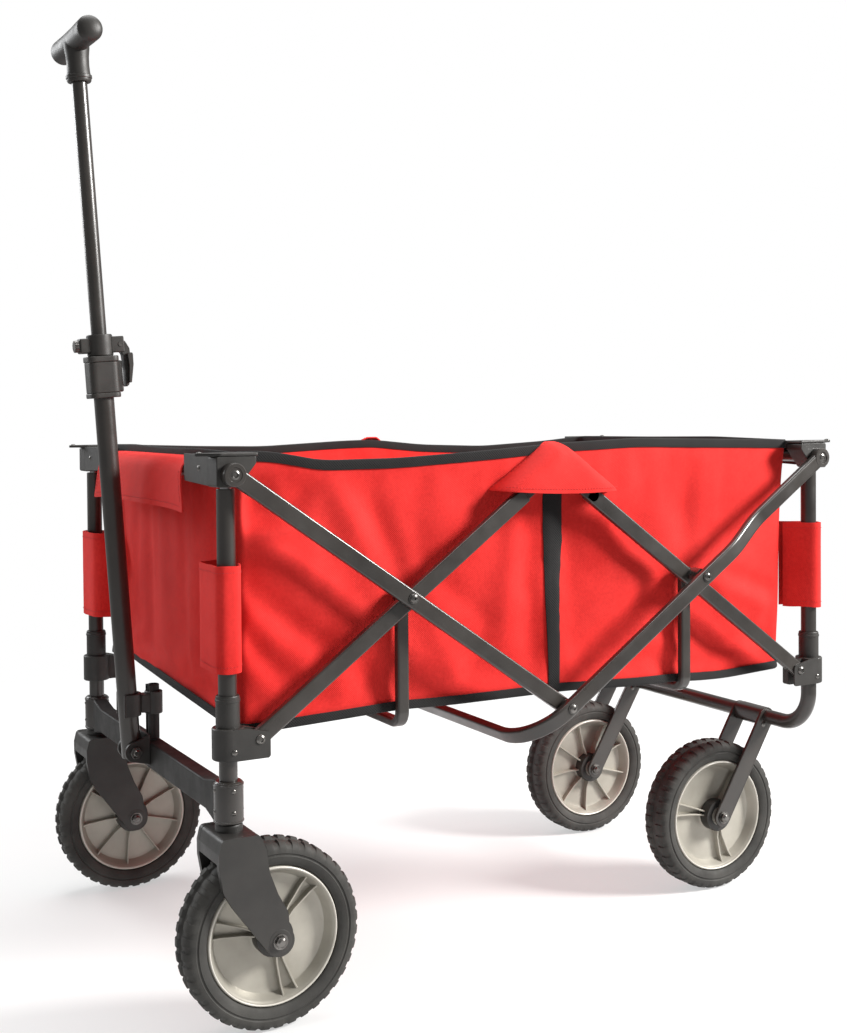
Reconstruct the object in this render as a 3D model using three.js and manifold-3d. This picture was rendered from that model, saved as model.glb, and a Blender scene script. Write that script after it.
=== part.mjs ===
// Folding camp wagon. Millimetres, +Z up, +X to the rear, handle at the -X end, left side at -Y.
import * as THREE from "three";
import { mergeVertices } from "three/addons/utils/BufferGeometryUtils.js";
import Module from "manifold-3d";

const wasm = await Module();
wasm.setup();

// ---------------------------------------------------------------- driving dimensions
const GAP = 0.3; // clearance between parts that meet
const BASE = 836; // front post to rear post
const HALF = 253; // centre plane to post
const MID = BASE / 2;
const WHEEL_R = 101.6;
const TYRE_W = 42;
const RIM_R = 76;
const RIM_W = 34;
const POST_R = 10;
const POST_BORE = 8.8;
const POST_TOP = 583;
const POST_FOOT = 236.3;
const ROD_R = 6;
// linkage pivots in the side plane: x inward from the post, z
const TOP_PIVOT = [1, 598.5];
const LOW_PIVOT = [30.5, 315.5];
const CROSS = [212.5, 454.5];
const RIDGE_Z = 598;
const KEEL_Z = 2 * CROSS[1] - RIDGE_Z;
// linkage planes: distance outward from the post axis
const LEG_PLANE = [-8, 2];
const INNER_PLANE = [5, 15];
const LONG_PLANE = [17, 27];
const OUTER_PLANE = [32, 42];
const ARM_R = 9.5; // half the height of the flat oval arm
const PIN_R = 4;
const HEAD_R = 7;
const HEAD_T = 2.4;
// casters and rear wheels
const TRAIL = 44;
const CASTER_TOP = 219;
const REAR_WHEEL_X = BASE - 82;
const REAR_WHEEL_Y = 147;
const CROSS_TUBE_Z = 232;
// handle: hinge point, forward lean, distances along the handle
const HANDLE_X = -28.7;
const HANDLE_Z = 254;
const LEAN = THREE.MathUtils.degToRad(3.85);
const LOWER_R = 12;
const UPPER_R = 9.2;
const LOWER_TOP = 436;
const UPPER_FOOT = 290;
const UPPER_TOP = 812;
const GRIP_S = 855;
const GRIP_R = 15;
const GRIP_LEN = 136;
const LEVER_PIVOT = [22.5, 493.5]; // out from the handle line, along it
// fabric tub, outside faces
const TUB_X0 = 18;
const TUB_Y = 241;
const TUB_Z0 = 315;
const TUB_Z1 = 618;
const CLOTH = 2.5;

// ---------------------------------------------------------------- solids
function solid(geometry) {
  const bare = new THREE.BufferGeometry();
  bare.setAttribute("position", geometry.getAttribute("position"));
  if (geometry.index) bare.setIndex(geometry.index);
  const g = mergeVertices(bare, 1e-4);
  return new wasm.Manifold(new wasm.Mesh({
    numProp: 3,
    vertProperties: new Float32Array(g.getAttribute("position").array),
    triVerts: new Uint32Array(g.index.array),
  }));
}
const join = (...s) => s.reduce((a, b) => a.add(b));
const cut = (a, ...s) => s.reduce((m, b) => m.subtract(b), a);

function box(x0, x1, y0, y1, z0, z1) {
  const [ya, yb] = [Math.min(y0, y1), Math.max(y0, y1)];
  const [xa, xb] = [Math.min(x0, x1), Math.max(x0, x1)];
  const g = new THREE.BoxGeometry(xb - xa, yb - ya, z1 - z0);
  g.translate((xa + xb) / 2, (ya + yb) / 2, (z0 + z1) / 2);
  return solid(g);
}
// cylinder between two heights along an axis, through the point given by the other two coordinates
function rod(axis, r, a, b, p, sides = 16) {
  const [lo, hi] = [Math.min(a, b), Math.max(a, b)];
  const g = new THREE.CylinderGeometry(r, r, hi - lo, sides);
  const mid = (lo + hi) / 2;
  if (axis === "x") g.rotateZ(-Math.PI / 2).translate(mid, p[0], p[1]);
  if (axis === "y") g.translate(p[0], mid, p[1]);
  if (axis === "z") g.rotateX(Math.PI / 2).translate(p[0], p[1], mid);
  return solid(g);
}
// closed turned body about an axis, from [radius, height] points
function turned(axis, profile, p, sides = 30) {
  const points = profile.map(([r, h]) => new THREE.Vector2(r, h));
  points.push(points[0].clone());
  const g = new THREE.LatheGeometry(points, sides);
  if (axis === "y") g.translate(p[0], p[1], p[2]);
  if (axis === "z") g.rotateX(Math.PI / 2).translate(p[0], p[1], p[2]);
  return solid(g);
}
// plate drawn in the side plane as [x, z] and running from y0 to y1, edges eased by `ease`
function sidePlate(outline, y0, y1, ease = 0) {
  const shape = new THREE.Shape(outline.map(([x, z]) => new THREE.Vector2(x, z)));
  const [lo, hi] = [Math.min(y0, y1), Math.max(y0, y1)];
  const g = new THREE.ExtrudeGeometry(shape, {
    depth: hi - lo - 2 * ease, bevelEnabled: ease > 0, bevelSize: ease, bevelOffset: -ease,
    bevelThickness: ease, bevelSegments: 1, steps: 1,
  });
  g.rotateX(Math.PI / 2).translate(0, hi - ease, 0);
  return solid(g);
}
// plate drawn in the cross plane as [y, z] and running from x0 to x1
function endPlate(outline, x0, x1, ease = 0) {
  const shape = new THREE.Shape(outline.map(([y, z]) => new THREE.Vector2(y, z)));
  const [lo, hi] = [Math.min(x0, x1), Math.max(x0, x1)];
  const g = new THREE.ExtrudeGeometry(shape, {
    depth: hi - lo - 2 * ease, bevelEnabled: ease > 0, bevelSize: ease, bevelOffset: -ease,
    bevelThickness: ease, bevelSegments: 1, steps: 1,
  });
  g.rotateX(Math.PI / 2).rotateZ(Math.PI / 2).translate(lo + ease, 0, 0);
  return solid(g);
}
// outline of a bar with round ends between two points
function capsule([x0, z0], [x1, z1], r, r1 = r) {
  const along = Math.atan2(z1 - z0, x1 - x0);
  const lean = Math.asin((r - r1) / Math.hypot(x1 - x0, z1 - z0));
  const out = [];
  for (let i = 0; i <= 6; i++) {
    const t = along + Math.PI / 2 - lean + (i / 6) * (Math.PI + 2 * lean);
    out.push([x0 + r * Math.cos(t), z0 + r * Math.sin(t)]);
  }
  for (let i = 0; i <= 6; i++) {
    const t = along - Math.PI / 2 + lean + (i / 6) * (Math.PI - 2 * lean);
    out.push([x1 + r1 * Math.cos(t), z1 + r1 * Math.sin(t)]);
  }
  return out;
}
// a section [[across, in plane]] carried along a planar path with mitred corners; `across` is the plane's normal
function sweep(section, path, across) {
  const n = section.length;
  const pos = [];
  const idx = [];
  path.forEach((p, i) => {
    const before = p.clone().sub(path[Math.max(i - 1, 0)]).normalize();
    const after = path[Math.min(i + 1, path.length - 1)].clone().sub(p).normalize();
    if (i === 0) before.copy(after);
    if (i === path.length - 1) after.copy(before);
    const along = before.clone().add(after).normalize();
    const inPlane = along.clone().cross(across);
    const mitre = 1 / along.dot(before);
    for (const [a, b] of section) {
      const q = p.clone().addScaledVector(across, a).addScaledVector(inPlane, b * mitre);
      pos.push(q.x, q.y, q.z);
    }
  });
  for (let i = 0; i + 1 < path.length; i++) {
    for (let k = 0; k < n; k++) {
      const [a, b] = [i * n + k, i * n + ((k + 1) % n)];
      idx.push(a, b, a + n, b, b + n, a + n);
    }
  }
  const last = (path.length - 1) * n;
  for (let k = 1; k + 1 < n; k++) {
    idx.push(0, k + 1, k, last, last + k, last + k + 1);
  }
  const g = new THREE.BufferGeometry();
  g.setAttribute("position", new THREE.Float32BufferAttribute(pos, 3));
  g.setIndex(idx);
  const m = solid(g);
  if (m.volume() > 0) return m;
  g.setIndex(idx.reverse());
  return solid(g);
}
function ovalSection(wide, thick, round = 4) {
  const out = [];
  const corners = [[1, 1], [-1, 1], [-1, -1], [1, -1]];
  corners.forEach(([sa, sb], q) => {
    for (let i = 0; i <= 1; i++) {
      const t = ((q + 0.15 + 0.7 * i) * Math.PI) / 2;
      out.push([sa * (wide / 2 - round) + round * Math.cos(t), sb * (thick / 2 - round) + round * Math.sin(t)]);
    }
  });
  return out;
}
function roundSection(r, sides = 16) {
  return Array.from({ length: sides }, (_, i) => {
    const t = (i / sides) * 2 * Math.PI;
    return [r * Math.cos(t), r * Math.sin(t)];
  });
}
// points of a U lying in a plane: down one leg, round two corners, up the other; place(v, h) gives a point
function uPath(half, top, bottom, radius, place, steps = 5) {
  const turn = [];
  for (let i = 0; i <= steps; i++) {
    const t = (i / steps) * (Math.PI / 2);
    turn.push([half - radius + radius * Math.cos(t), bottom + radius - radius * Math.sin(t)]);
  }
  const right = [[half, top], ...turn];
  const left = right.map(([v, h]) => [-v, h]).reverse();
  return [...right, ...left].map(([v, h]) => place(v, h));
}

// ---------------------------------------------------------------- parts list
const wagon = new THREE.Group();
wagon.name = "folding_camp_wagon";
const PAINT = { color: 0x1b1c1e, roughness: 0.42, metalness: 0.75 };
const STEEL = { color: 0x9a9c9e, roughness: 0.35, metalness: 0.95 };
const PLASTIC = { color: 0x18191b, roughness: 0.6, metalness: 0 };
const RIM = { color: 0x9a9b9b, roughness: 0.55, metalness: 0 };
const TYRE = { color: 0x1f2022, roughness: 0.85, metalness: 0 };
const CLOTH_RED = { color: 0xc8202a, roughness: 0.85, metalness: 0 };

function add(name, body, look) {
  const m = body.getMesh();
  const g = new THREE.BufferGeometry();
  g.setAttribute("position", new THREE.Float32BufferAttribute(m.vertProperties, 3));
  g.setIndex(Array.from(m.triVerts));
  g.translate(-SHIFT.x, -SHIFT.y, -SHIFT.z);
  g.computeVertexNormals();
  const mesh = new THREE.Mesh(g, new THREE.MeshStandardMaterial(look));
  mesh.name = name;
  wagon.add(mesh);
}

const ENDS = [
  { tag: "front", x: 0, dir: 1 },
  { tag: "rear", x: BASE, dir: -1 },
];
const SIDES = [
  { tag: "left", s: -1 },
  { tag: "right", s: 1 },
];
const at = (end, u) => end.x + end.dir * u;
const point = (end, [u, z]) => [at(end, u), z];
const out = (side, o) => side.s * (HALF + o);

// the whole is moved so that the origin is at the middle of its underside
const CHANNEL = 85; // how far a top bracket's channel covers the top rail
const CAP_REACH = 38;
const CAP_REAR = 43;
const handleAt = (s) => [HANDLE_X - s * Math.sin(LEAN), HANDLE_Z + s * Math.cos(LEAN)];
const FRONT_LIMIT = handleAt(GRIP_S)[0] - GRIP_R;
const REAR_LIMIT = BASE + CAP_REAR;
const SHIFT = { x: (FRONT_LIMIT + REAR_LIMIT) / 2, y: 0, z: 0 };

// ---------------------------------------------------------------- end frames
function frontPost(side) {
  const y = out(side, 0);
  const tube = rod("z", POST_R, POST_FOOT, POST_TOP, [0, y], 16);
  return cut(tube, rod("z", POST_BORE, POST_FOOT - 1, POST_TOP + 1, [0, y], 16));
}
function casterSocket(side) {
  const y = out(side, 0);
  const cup = turned("z", [[0, 227], [14.5, 227], [16, 229], [16, 270], [14.5, 272], [0, 272]]
    , [0, y, 0], 20);
  const rivets = [263, 240].map((z) => rod("x", 3.4, -17.6, 17.6, [y, z], 8));
  const body = join(cup, ...rivets);
  return cut(body, rod("z", POST_R + GAP, POST_FOOT - GAP, 273, [0, y], 16),
    rod("z", ROD_R + GAP, 226, POST_FOOT, [0, y]));
}
function crossbar() {
  const reach = HALF - 16 - GAP;
  const flare = reach - 34;
  const outline = [[-reach, 222], [-flare, 226], [flare, 226], [reach, 222], [reach, 270], [flare, 264],
    [-flare, 264], [-reach, 270]];
  return endPlate(outline, -10, 10, 2);
}
function lowerBracket(end, side) {
  const [u, z] = LOW_PIVOT;
  const wrap = rod("z", 17.4, 295, 329, [at(end, 0), out(side, 0)], 24);
  const sleeve = rod("z", 13, 300, 363, [at(end, 0), out(side, 0)], 16);
  const plate = [[0, 295], [40, 295], [42, 297], [42, 320], [40, 322.5], [14, 329], [0, 329]]
    .map((p) => point(end, p));
  const outerCheek = sidePlate(plate, out(side, INNER_PLANE[1] + GAP), out(side, 17.4));
  const innerCheek = sidePlate(plate, out(side, -5), out(side, INNER_PLANE[0] - GAP));
  const pin = rod("y", PIN_R, out(side, 0), out(side, 17.4 + HEAD_T), [at(end, u), z], 16);
  const head = rod("y", HEAD_R, out(side, 17), out(side, 17.4 + HEAD_T), [at(end, u), z], 18);
  const rivet = rod("y", 5, out(side, 10.6), out(side, 19.2), [at(end, 0), 304.7], 16);
  const body = join(wrap, sleeve, outerCheek, innerCheek, rivet);
  const slot = box(at(end, POST_R + 3.2), at(end, 60), out(side, INNER_PLANE[0] - GAP),
    out(side, INNER_PLANE[1] + GAP), 280, 370);
  return cut(join(cut(body, slot), pin, head),
    rod("z", POST_R + GAP, 280, 370, [at(end, 0), out(side, 0)], 16));
}
function rearFrame() {
  const path = uPath(HALF, POST_TOP, CROSS_TUBE_Z, 48, (y, z) => new THREE.Vector3(BASE, y, z), 6);
  const tube = sweep(roundSection(POST_R), path, new THREE.Vector3(1, 0, 0));
  const bores = SIDES.map((side) => rod("z", POST_BORE, 345, POST_TOP + 1, [BASE, out(side, 0)], 16));
  return cut(tube, ...bores);
}
function rearWheelBracket(side) {
  const y = side.s * REAR_WHEEL_Y;
  const foot = [REAR_WHEEL_X, WHEEL_R];
  const head = [BASE - 2, CROSS_TUBE_Z];
  const straps = [-1, 1].map((k) =>
    sidePlate(capsule(foot, head, 13, 16), y + k * 25, y + k * 29));
  const saddle = sidePlate([[BASE - 16, 218], [BASE - 16, 246], [BASE + 13, 246], [BASE + 13, 218]],
    y - 26, y + 26, 1);
  const body = cut(join(...straps, saddle), rod("y", POST_R + GAP, y - 40, y + 40, [BASE, CROSS_TUBE_Z], 16));
  return cut(body, rod("y", 5 + GAP, y - 40, y + 40, foot, 16));
}
function axle(x, y, reach) {
  return join(rod("y", 5, y - reach - 1, y + reach + 1, [x, WHEEL_R], 14),
    rod("y", 9, y - reach - 4.5, y - reach, [x, WHEEL_R], 6),
    rod("y", 9, y + reach, y + reach + 4.5, [x, WHEEL_R], 6));
}

// ---------------------------------------------------------------- wheels and casters
function tyre(x, y) {
  const h = TYRE_W / 2;
  return turned("y", [[RIM_R, -h + 5], [90, -h], [98, -h + 5], [WHEEL_R, -h + 12],
    [WHEEL_R, h - 12], [98, h - 5], [90, h], [RIM_R, h - 5]], [x, y, WHEEL_R]);
}
function rim(x, y) {
  const h = RIM_W / 2;
  const r = RIM_R - GAP;
  return turned("y", [[5 + GAP, -h - 3], [17, -h - 3], [22, -5], [64, -5], [r, -h],
    [r, h], [64, 5], [22, 5], [17, h + 3], [5 + GAP, h + 3]], [x, y, WHEEL_R]);
}
function fork(side) {
  const y = out(side, 0);
  const stem = rod("z", ROD_R, CASTER_TOP - 6, 260, [0, y]);
  const race = rod("z", 15, CASTER_TOP - 6, 226.4, [0, y], 16);
  const crown = sidePlate([[-21, 206], [-19, 217], [-15, CASTER_TOP], [19, CASTER_TOP], [23, 216], [25, 206]],
    y - 34, y + 34, 1.5);
  const cheekLine = [[-21, 212], [-22, 190], [-17, 165], [2, 138]];
  const round = capsule([6, 150], [TRAIL, WHEEL_R], 16.5).filter(([x, z]) => x > 20 || z < 138);
  const outline = [...cheekLine, ...round.filter(([x, z]) => z < 120 || x > 30), [44, 132], [34, 152], [27, 180],
    [25, 212]];
  const cheeks = [-1, 1].map((k) => sidePlate(outline, y + k * 27, y + k * 34, 1.5));
  const body = join(crown, ...cheeks, stem, race);
  return cut(body, rod("y", 5 + GAP, y - 60, y + 60, [TRAIL, WHEEL_R], 16));
}

// ---------------------------------------------------------------- linkage
function armPlate(from, to, planes, side) {
  return sidePlate(capsule(from, to, ARM_R), out(side, planes[0]), out(side, planes[1]), 2.5);
}
const hole = (p, side) => rod("y", PIN_R + GAP, out(side, -30), out(side, 60), p, 12);
const pinRod = (p, o0, o1, side) => rod("y", PIN_R, out(side, o0), out(side, o1), p, 10);
const disc = (p, o0, o1, side) => rod("y", HEAD_R, out(side, o0), out(side, o1), p, 12);

// arm from the lower bracket to the ridge; its cross pin carries the floor support and the long arm
function innerArm(end, side) {
  const [low, mid, high] = [LOW_PIVOT, CROSS, [MID, RIDGE_Z]].map((p) => point(end, p));
  const arm = armPlate(low, high, INNER_PLANE, side);
  const front = end.dir > 0;
  const split = (INNER_PLANE[0] + INNER_PLANE[1]) / 2;
  const lost = front ? [split - GAP / 2, 20] : [0, split + GAP / 2];
  const relief = rod("y", 62, out(side, lost[0]), out(side, lost[1]), high, 36);
  const far = front ? LONG_PLANE : OUTER_PLANE;
  let body = cut(arm, relief, hole(low, side));
  body = join(body, pinRod(mid, LEG_PLANE[0] - GAP - HEAD_T, far[1] + GAP + HEAD_T, side),
    disc(mid, LEG_PLANE[0] - GAP - HEAD_T, LEG_PLANE[0] - GAP, side),
    disc(mid, LEG_PLANE[1] + GAP, INNER_PLANE[0] + 1, side),
    disc(mid, INNER_PLANE[1] - 1, far[0] - GAP, side),
    disc(mid, far[1] + GAP, far[1] + GAP + HEAD_T, side));
  if (!front) return cut(body, hole(high, side));
  return join(body, pinRod(high, INNER_PLANE[0] + 1, INNER_PLANE[1] + GAP + HEAD_T, side),
    disc(high, INNER_PLANE[1] + GAP, INNER_PLANE[1] + GAP + HEAD_T, side));
}
function topPin(end, side) {
  const p = point(end, TOP_PIVOT);
  return join(pinRod(p, 9, LONG_PLANE[1] + HEAD_T, side), disc(p, LONG_PLANE[1] - 1, LONG_PLANE[1] + HEAD_T, side));
}
function frontLongArm(side) {
  const end = ENDS[0];
  const [high, mid, keel] = [TOP_PIVOT, CROSS, [MID, KEEL_Z]].map((p) => point(end, p));
  const arm = cut(armPlate(high, keel, LONG_PLANE, side), hole(mid, side));
  return join(arm, topPin(end, side), pinRod(keel, LONG_PLANE[1] - 1, OUTER_PLANE[1] + GAP + HEAD_T, side),
    disc(keel, LONG_PLANE[1] - 1, OUTER_PLANE[0] - GAP, side),
    disc(keel, OUTER_PLANE[1] + GAP, OUTER_PLANE[1] + GAP + HEAD_T, side));
}
// one bent tube: left rear long arm, bend, cross tube under the floor, bend, right rear long arm
function rearLongArms() {
  const [xa, za] = point(ENDS[1], TOP_PIVOT);
  const run = new THREE.Vector3(xa - MID, 0, za - KEEL_Z);
  const length = run.length();
  run.normalize();
  const place = (y, t) => new THREE.Vector3(MID, y, KEEL_Z).addScaledVector(run, t);
  const y1 = HALF + (OUTER_PLANE[0] + OUTER_PLANE[1]) / 2;
  const y0 = HALF + (LONG_PLANE[0] + LONG_PLANE[1]) / 2;
  const [j0, j1] = [length - 209, length - 127];
  const joggle = [[y0, length], [y0, j1], [y0 + 2, j1 - 8], [y1 - 2, j0 + 8], [y1, j0]];
  const bend = uPath(y1, 60, -66, 62, (v, h) => [v, h], 6);
  const line = [...joggle, ...bend, ...joggle.map(([v, h]) => [-v, h]).reverse()];
  const across = new THREE.Vector3(0, 1, 0).cross(run);
  const tube = sweep(ovalSection(2 * ARM_R, 10), line.map(([y, t]) => place(y, t)), across);
  const ends = SIDES.map((side) => join(
    rod("y", ARM_R, out(side, LONG_PLANE[0] + 0.5), out(side, LONG_PLANE[1] - 0.5), [xa, za], 16),
    topPin(ENDS[1], side)));
  const holes = SIDES.flatMap((side) => [hole([MID, KEEL_Z], side), hole(point(ENDS[1], CROSS), side)]);
  return join(cut(tube, ...holes), ...ends);
}
function floorSupport(end) {
  const x = at(end, CROSS[0]);
  const y = HALF + (LEG_PLANE[0] + LEG_PLANE[1]) / 2;
  const path = uPath(y, CROSS[1], 307, 15, (v, h) => new THREE.Vector3(x, v, h), 5);
  const tube = sweep(ovalSection(15, 10), path, new THREE.Vector3(1, 0, 0));
  const eyes = SIDES.map((side) =>
    rod("y", 9.5, out(side, LEG_PLANE[0] + 0.5), out(side, LEG_PLANE[1] - 0.5), [x, CROSS[1]], 16));
  return cut(join(tube, ...eyes), ...SIDES.map((side) => hole([x, CROSS[1]], side)));
}

// ---------------------------------------------------------------- upper frames
function slideRod(end, side) {
  return rod("z", ROD_R, 362, 612 - GAP, [at(end, 0), out(side, 0)]);
}
function topBracket(end, side) {
  const block = sidePlate([[-16, 586], [-14, 584], [20, 584], [40, 606], [40, 617], [38, 619], [-16, 619]]
    .map((p) => point(end, p)), out(side, -11.7), out(side, 16.7), 1);
  const reach = end.dir > 0 ? CAP_REACH : CAP_REAR;
  const cap = box(at(end, -reach), at(end, 30), out(side, -11.7), out(side, 16.7), 618, 621.5);
  const face = endPlate([[-11, 584], [-40, 586], [-CHANNEL, 594], [-CHANNEL, 619], [-11, 619]]
    .map(([o, z]) => [out(side, o), z]), at(end, -16), at(end, -12.5));
  const roof = box(at(end, -16), at(end, 12), out(side, -11), out(side, -CHANNEL), 615, 619);
  const rivet = rod("z", 3.5, 621, 623, [at(end, -reach + 9), out(side, 0)], 14);
  const body = join(block, cap, face, roof, rivet);
  return cut(body, rod("z", ROD_R + GAP, 580, 612, [at(end, 0), out(side, 0)]),
    rod("y", 8 + GAP, out(side, -13), out(side, -7), [at(end, 0), 600], 16),
    rod("y", PIN_R + GAP, out(side, 8.5), out(side, 19), point(end, TOP_PIVOT), 12));
}
function topRail(end) {
  const reach = HALF - 7 - GAP;
  return rod("y", 8, -reach, reach, [at(end, 0), 600], 16);
}

// ---------------------------------------------------------------- handle
// place a body modelled upright about the origin on the leaning handle line
function onHandle(body) {
  const m = body.getMesh();
  const g = new THREE.BufferGeometry();
  g.setAttribute("position", new THREE.Float32BufferAttribute(m.vertProperties, 3));
  g.setIndex(Array.from(m.triVerts));
  g.rotateY(-LEAN).translate(HANDLE_X, 0, HANDLE_Z);
  return solid(g);
}
function hingeBracket() {
  const nose = Array.from({ length: 13 }, (_, i) => {
    const t = (0.5 + i / 12) * Math.PI;
    return [HANDLE_X + 12.5 * Math.cos(t), HANDLE_Z + 12.5 * Math.sin(t)];
  });
  const cheekLine = [...nose, [-12, 236], [-12, 274]];
  const cheeks = [-1, 1].map((k) => sidePlate(cheekLine, k * 12.6, k * 17.5, 0.8));
  const base = box(-13.5, -10 - GAP, -17.5, 17.5, 236, 274);
  return cut(join(...cheeks, base), rod("y", PIN_R + GAP, -30, 30, [HANDLE_X, HANDLE_Z], 16));
}
function hingePin() {
  const p = [HANDLE_X, HANDLE_Z];
  return join(rod("y", PIN_R, -18, 18, p, 16), rod("y", 7.5, -22, -17.8, p, 6), rod("y", 7.5, 17.8, 22, p, 6));
}
function handleClip() {
  const x = handleAt(57)[0];
  const ring = rod("z", 11, 296, 324, [0, 0], 16);
  const neck = box(x + 10, -4, -9, 9, 298, 322);
  const shell = rod("z", 16.6, 296, 324, [x, 0], 20);
  const arms = box(x - 8, x, -16.6, 16.6, 296, 324);
  const well = join(rod("z", 13.2, 290, 330, [x, 0], 20), box(x - 40, x, -13.2, 13.2, 290, 330));
  return cut(join(ring, neck, cut(join(shell, arms), well)), rod("z", 7 + GAP, 290, 330, [0, 0], 16), well);
}
function lowerTube() {
  const tube = rod("z", LOWER_R, -9, LOWER_TOP, [0, 0], 20);
  return onHandle(cut(tube, rod("z", 10.2, 8, LOWER_TOP + 1, [0, 0], 16), rod("y", PIN_R + GAP, -20, 20, [0, 0], 16)));
}
function clampCollar() {
  const block = turned("z", [[0, 430], [17, 430], [18.5, 432], [18.5, 478], [17, 480], [0, 480]], [0, 0, 0], 20);
  const lug = box(8, 24, -7, 7, 434, 476);
  const ring = rod("z", 15.5, 479, 506, [0, 0], 20);
  const ears = join(box(-26, -10, -8, 8, 484, 502), rod("x", 7.5, -31, -26, [0, 493], 12));
  const forkEars = [-1, 1].map((k) => box(10, 27, k * 6.3, k * 11, 484, 503));
  const pin = rod("y", 3, -11, 11, LEVER_PIVOT, 16);
  const body = join(block, lug, ring, ears, ...forkEars, pin);
  return onHandle(cut(body, rod("z", LOWER_R + GAP, 400, LOWER_TOP + GAP, [0, 0], 20),
    rod("z", UPPER_R + GAP, 400, 520, [0, 0], 16)));
}
function clampLever() {
  const hub = rod("y", 6, -6, 6, LEVER_PIVOT, 16);
  const blade = sidePlate([[19, 497.5], [24, 499.5], [29.5, 496], [34, 488], [35.5, 470], [31.5, 444], [27.5, 442],
    [28, 468], [26, 484], [18.5, 489.5]], -6, 6, 0.8);
  return onHandle(cut(join(hub, blade), rod("y", 3 + GAP, -20, 20, LEVER_PIVOT, 16)));
}
function upperTube() {
  const tube = rod("z", UPPER_R, UPPER_FOOT, UPPER_TOP, [0, 0], 16);
  return onHandle(cut(tube, rod("z", UPPER_R - 1.4, UPPER_FOOT - 1, UPPER_TOP - 6, [0, 0], 16)));
}
function grip() {
  const bar = solid(new THREE.LatheGeometry([[0, 0], [GRIP_R - 3, 0], [GRIP_R, 3], [GRIP_R, GRIP_LEN - 3],
    [GRIP_R - 3, GRIP_LEN], [0, GRIP_LEN]].map(([r, h]) => new THREE.Vector2(r, h - GRIP_LEN / 2)), 36)
    .translate(0, 0, GRIP_S));
  const stem = rod("z", 14, 806, GRIP_S, [0, 0], 20);
  return onHandle(cut(join(bar, stem), rod("z", UPPER_R + GAP, 800, UPPER_TOP + GAP, [0, 0], 16)));
}

// ---------------------------------------------------------------- assembly
for (const side of SIDES) {
  add(`front_post_${side.tag}`, frontPost(side), PAINT);
  add(`caster_socket_${side.tag}`, casterSocket(side), PAINT);
  add(`caster_fork_${side.tag}`, fork(side), PLASTIC);
  add(`caster_axle_${side.tag}`, axle(TRAIL, out(side, 0), 34.3), STEEL);
  add(`front_tyre_${side.tag}`, tyre(TRAIL, out(side, 0)), TYRE);
  add(`front_rim_${side.tag}`, rim(TRAIL, out(side, 0)), RIM);
  add(`rear_wheel_bracket_${side.tag}`, rearWheelBracket(side), PAINT);
  add(`rear_axle_${side.tag}`, axle(REAR_WHEEL_X, side.s * REAR_WHEEL_Y, 29.3), STEEL);
  add(`rear_tyre_${side.tag}`, tyre(REAR_WHEEL_X, side.s * REAR_WHEEL_Y), TYRE);
  add(`rear_rim_${side.tag}`, rim(REAR_WHEEL_X, side.s * REAR_WHEEL_Y), RIM);
  add(`front_long_arm_${side.tag}`, frontLongArm(side), PAINT);
  for (const end of ENDS) {
    add(`${end.tag}_lower_bracket_${side.tag}`, lowerBracket(end, side), PLASTIC);
    add(`${end.tag}_inner_arm_${side.tag}`, innerArm(end, side), PAINT);
    add(`${end.tag}_slide_rod_${side.tag}`, slideRod(end, side), STEEL);
    add(`${end.tag}_top_bracket_${side.tag}`, topBracket(end, side), PLASTIC);
  }
}
for (const end of ENDS) {
  add(`${end.tag}_floor_support`, floorSupport(end), PAINT);
  add(`${end.tag}_top_rail`, topRail(end), PAINT);
}
add("rear_long_arm_frame", rearLongArms(), PAINT);
add("rear_frame", rearFrame(), PAINT);
add("front_crossbar", crossbar(), PAINT);
add("centre_post", rod("z", 7, 264 + GAP, 332, [0, 0], 16), PAINT);
add("handle_clip", handleClip(), PLASTIC);
add("handle_hinge_bracket", hingeBracket(), PLASTIC);
add("handle_hinge_pin", hingePin(), STEEL);
add("handle_lower_tube", lowerTube(), PAINT);
add("handle_clamp_collar", clampCollar(), PLASTIC);
add("handle_clamp_lever", clampLever(), PLASTIC);
add("handle_upper_tube", upperTube(), PAINT);
add("handle_grip", grip(), PLASTIC);

const TUB_X1 = BASE - TUB_X0;
for (const side of SIDES) {
  add(`tub_side_${side.tag}`, box(TUB_X0, TUB_X1, side.s * TUB_Y, side.s * (TUB_Y - CLOTH), TUB_Z0, TUB_Z1), CLOTH_RED);
}
const inner = TUB_Y - CLOTH - GAP;
add("tub_front", box(TUB_X0, TUB_X0 + CLOTH, -inner, inner, TUB_Z0, TUB_Z1), CLOTH_RED);
add("tub_rear", box(TUB_X1 - CLOTH, TUB_X1, -inner, inner, TUB_Z0, TUB_Z1), CLOTH_RED);
add("tub_floor", box(TUB_X0 + CLOTH + GAP, TUB_X1 - CLOTH - GAP, -inner, inner, TUB_Z0, TUB_Z0 + CLOTH), CLOTH_RED);

export default wagon;
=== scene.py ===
"""Folding camp wagon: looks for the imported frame. Lengths are in millimetres from the front
post axis (x), the middle (y) and the ground (z) until pt() turns them into the row frame."""
from math import atan2, cos, exp, pi, radians, sin, sqrt, tan, tanh
import bmesh
import bpy
import numpy as np
from mathutils import Matrix, Vector, noise
from mathutils.bvhtree import BVHTree


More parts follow.
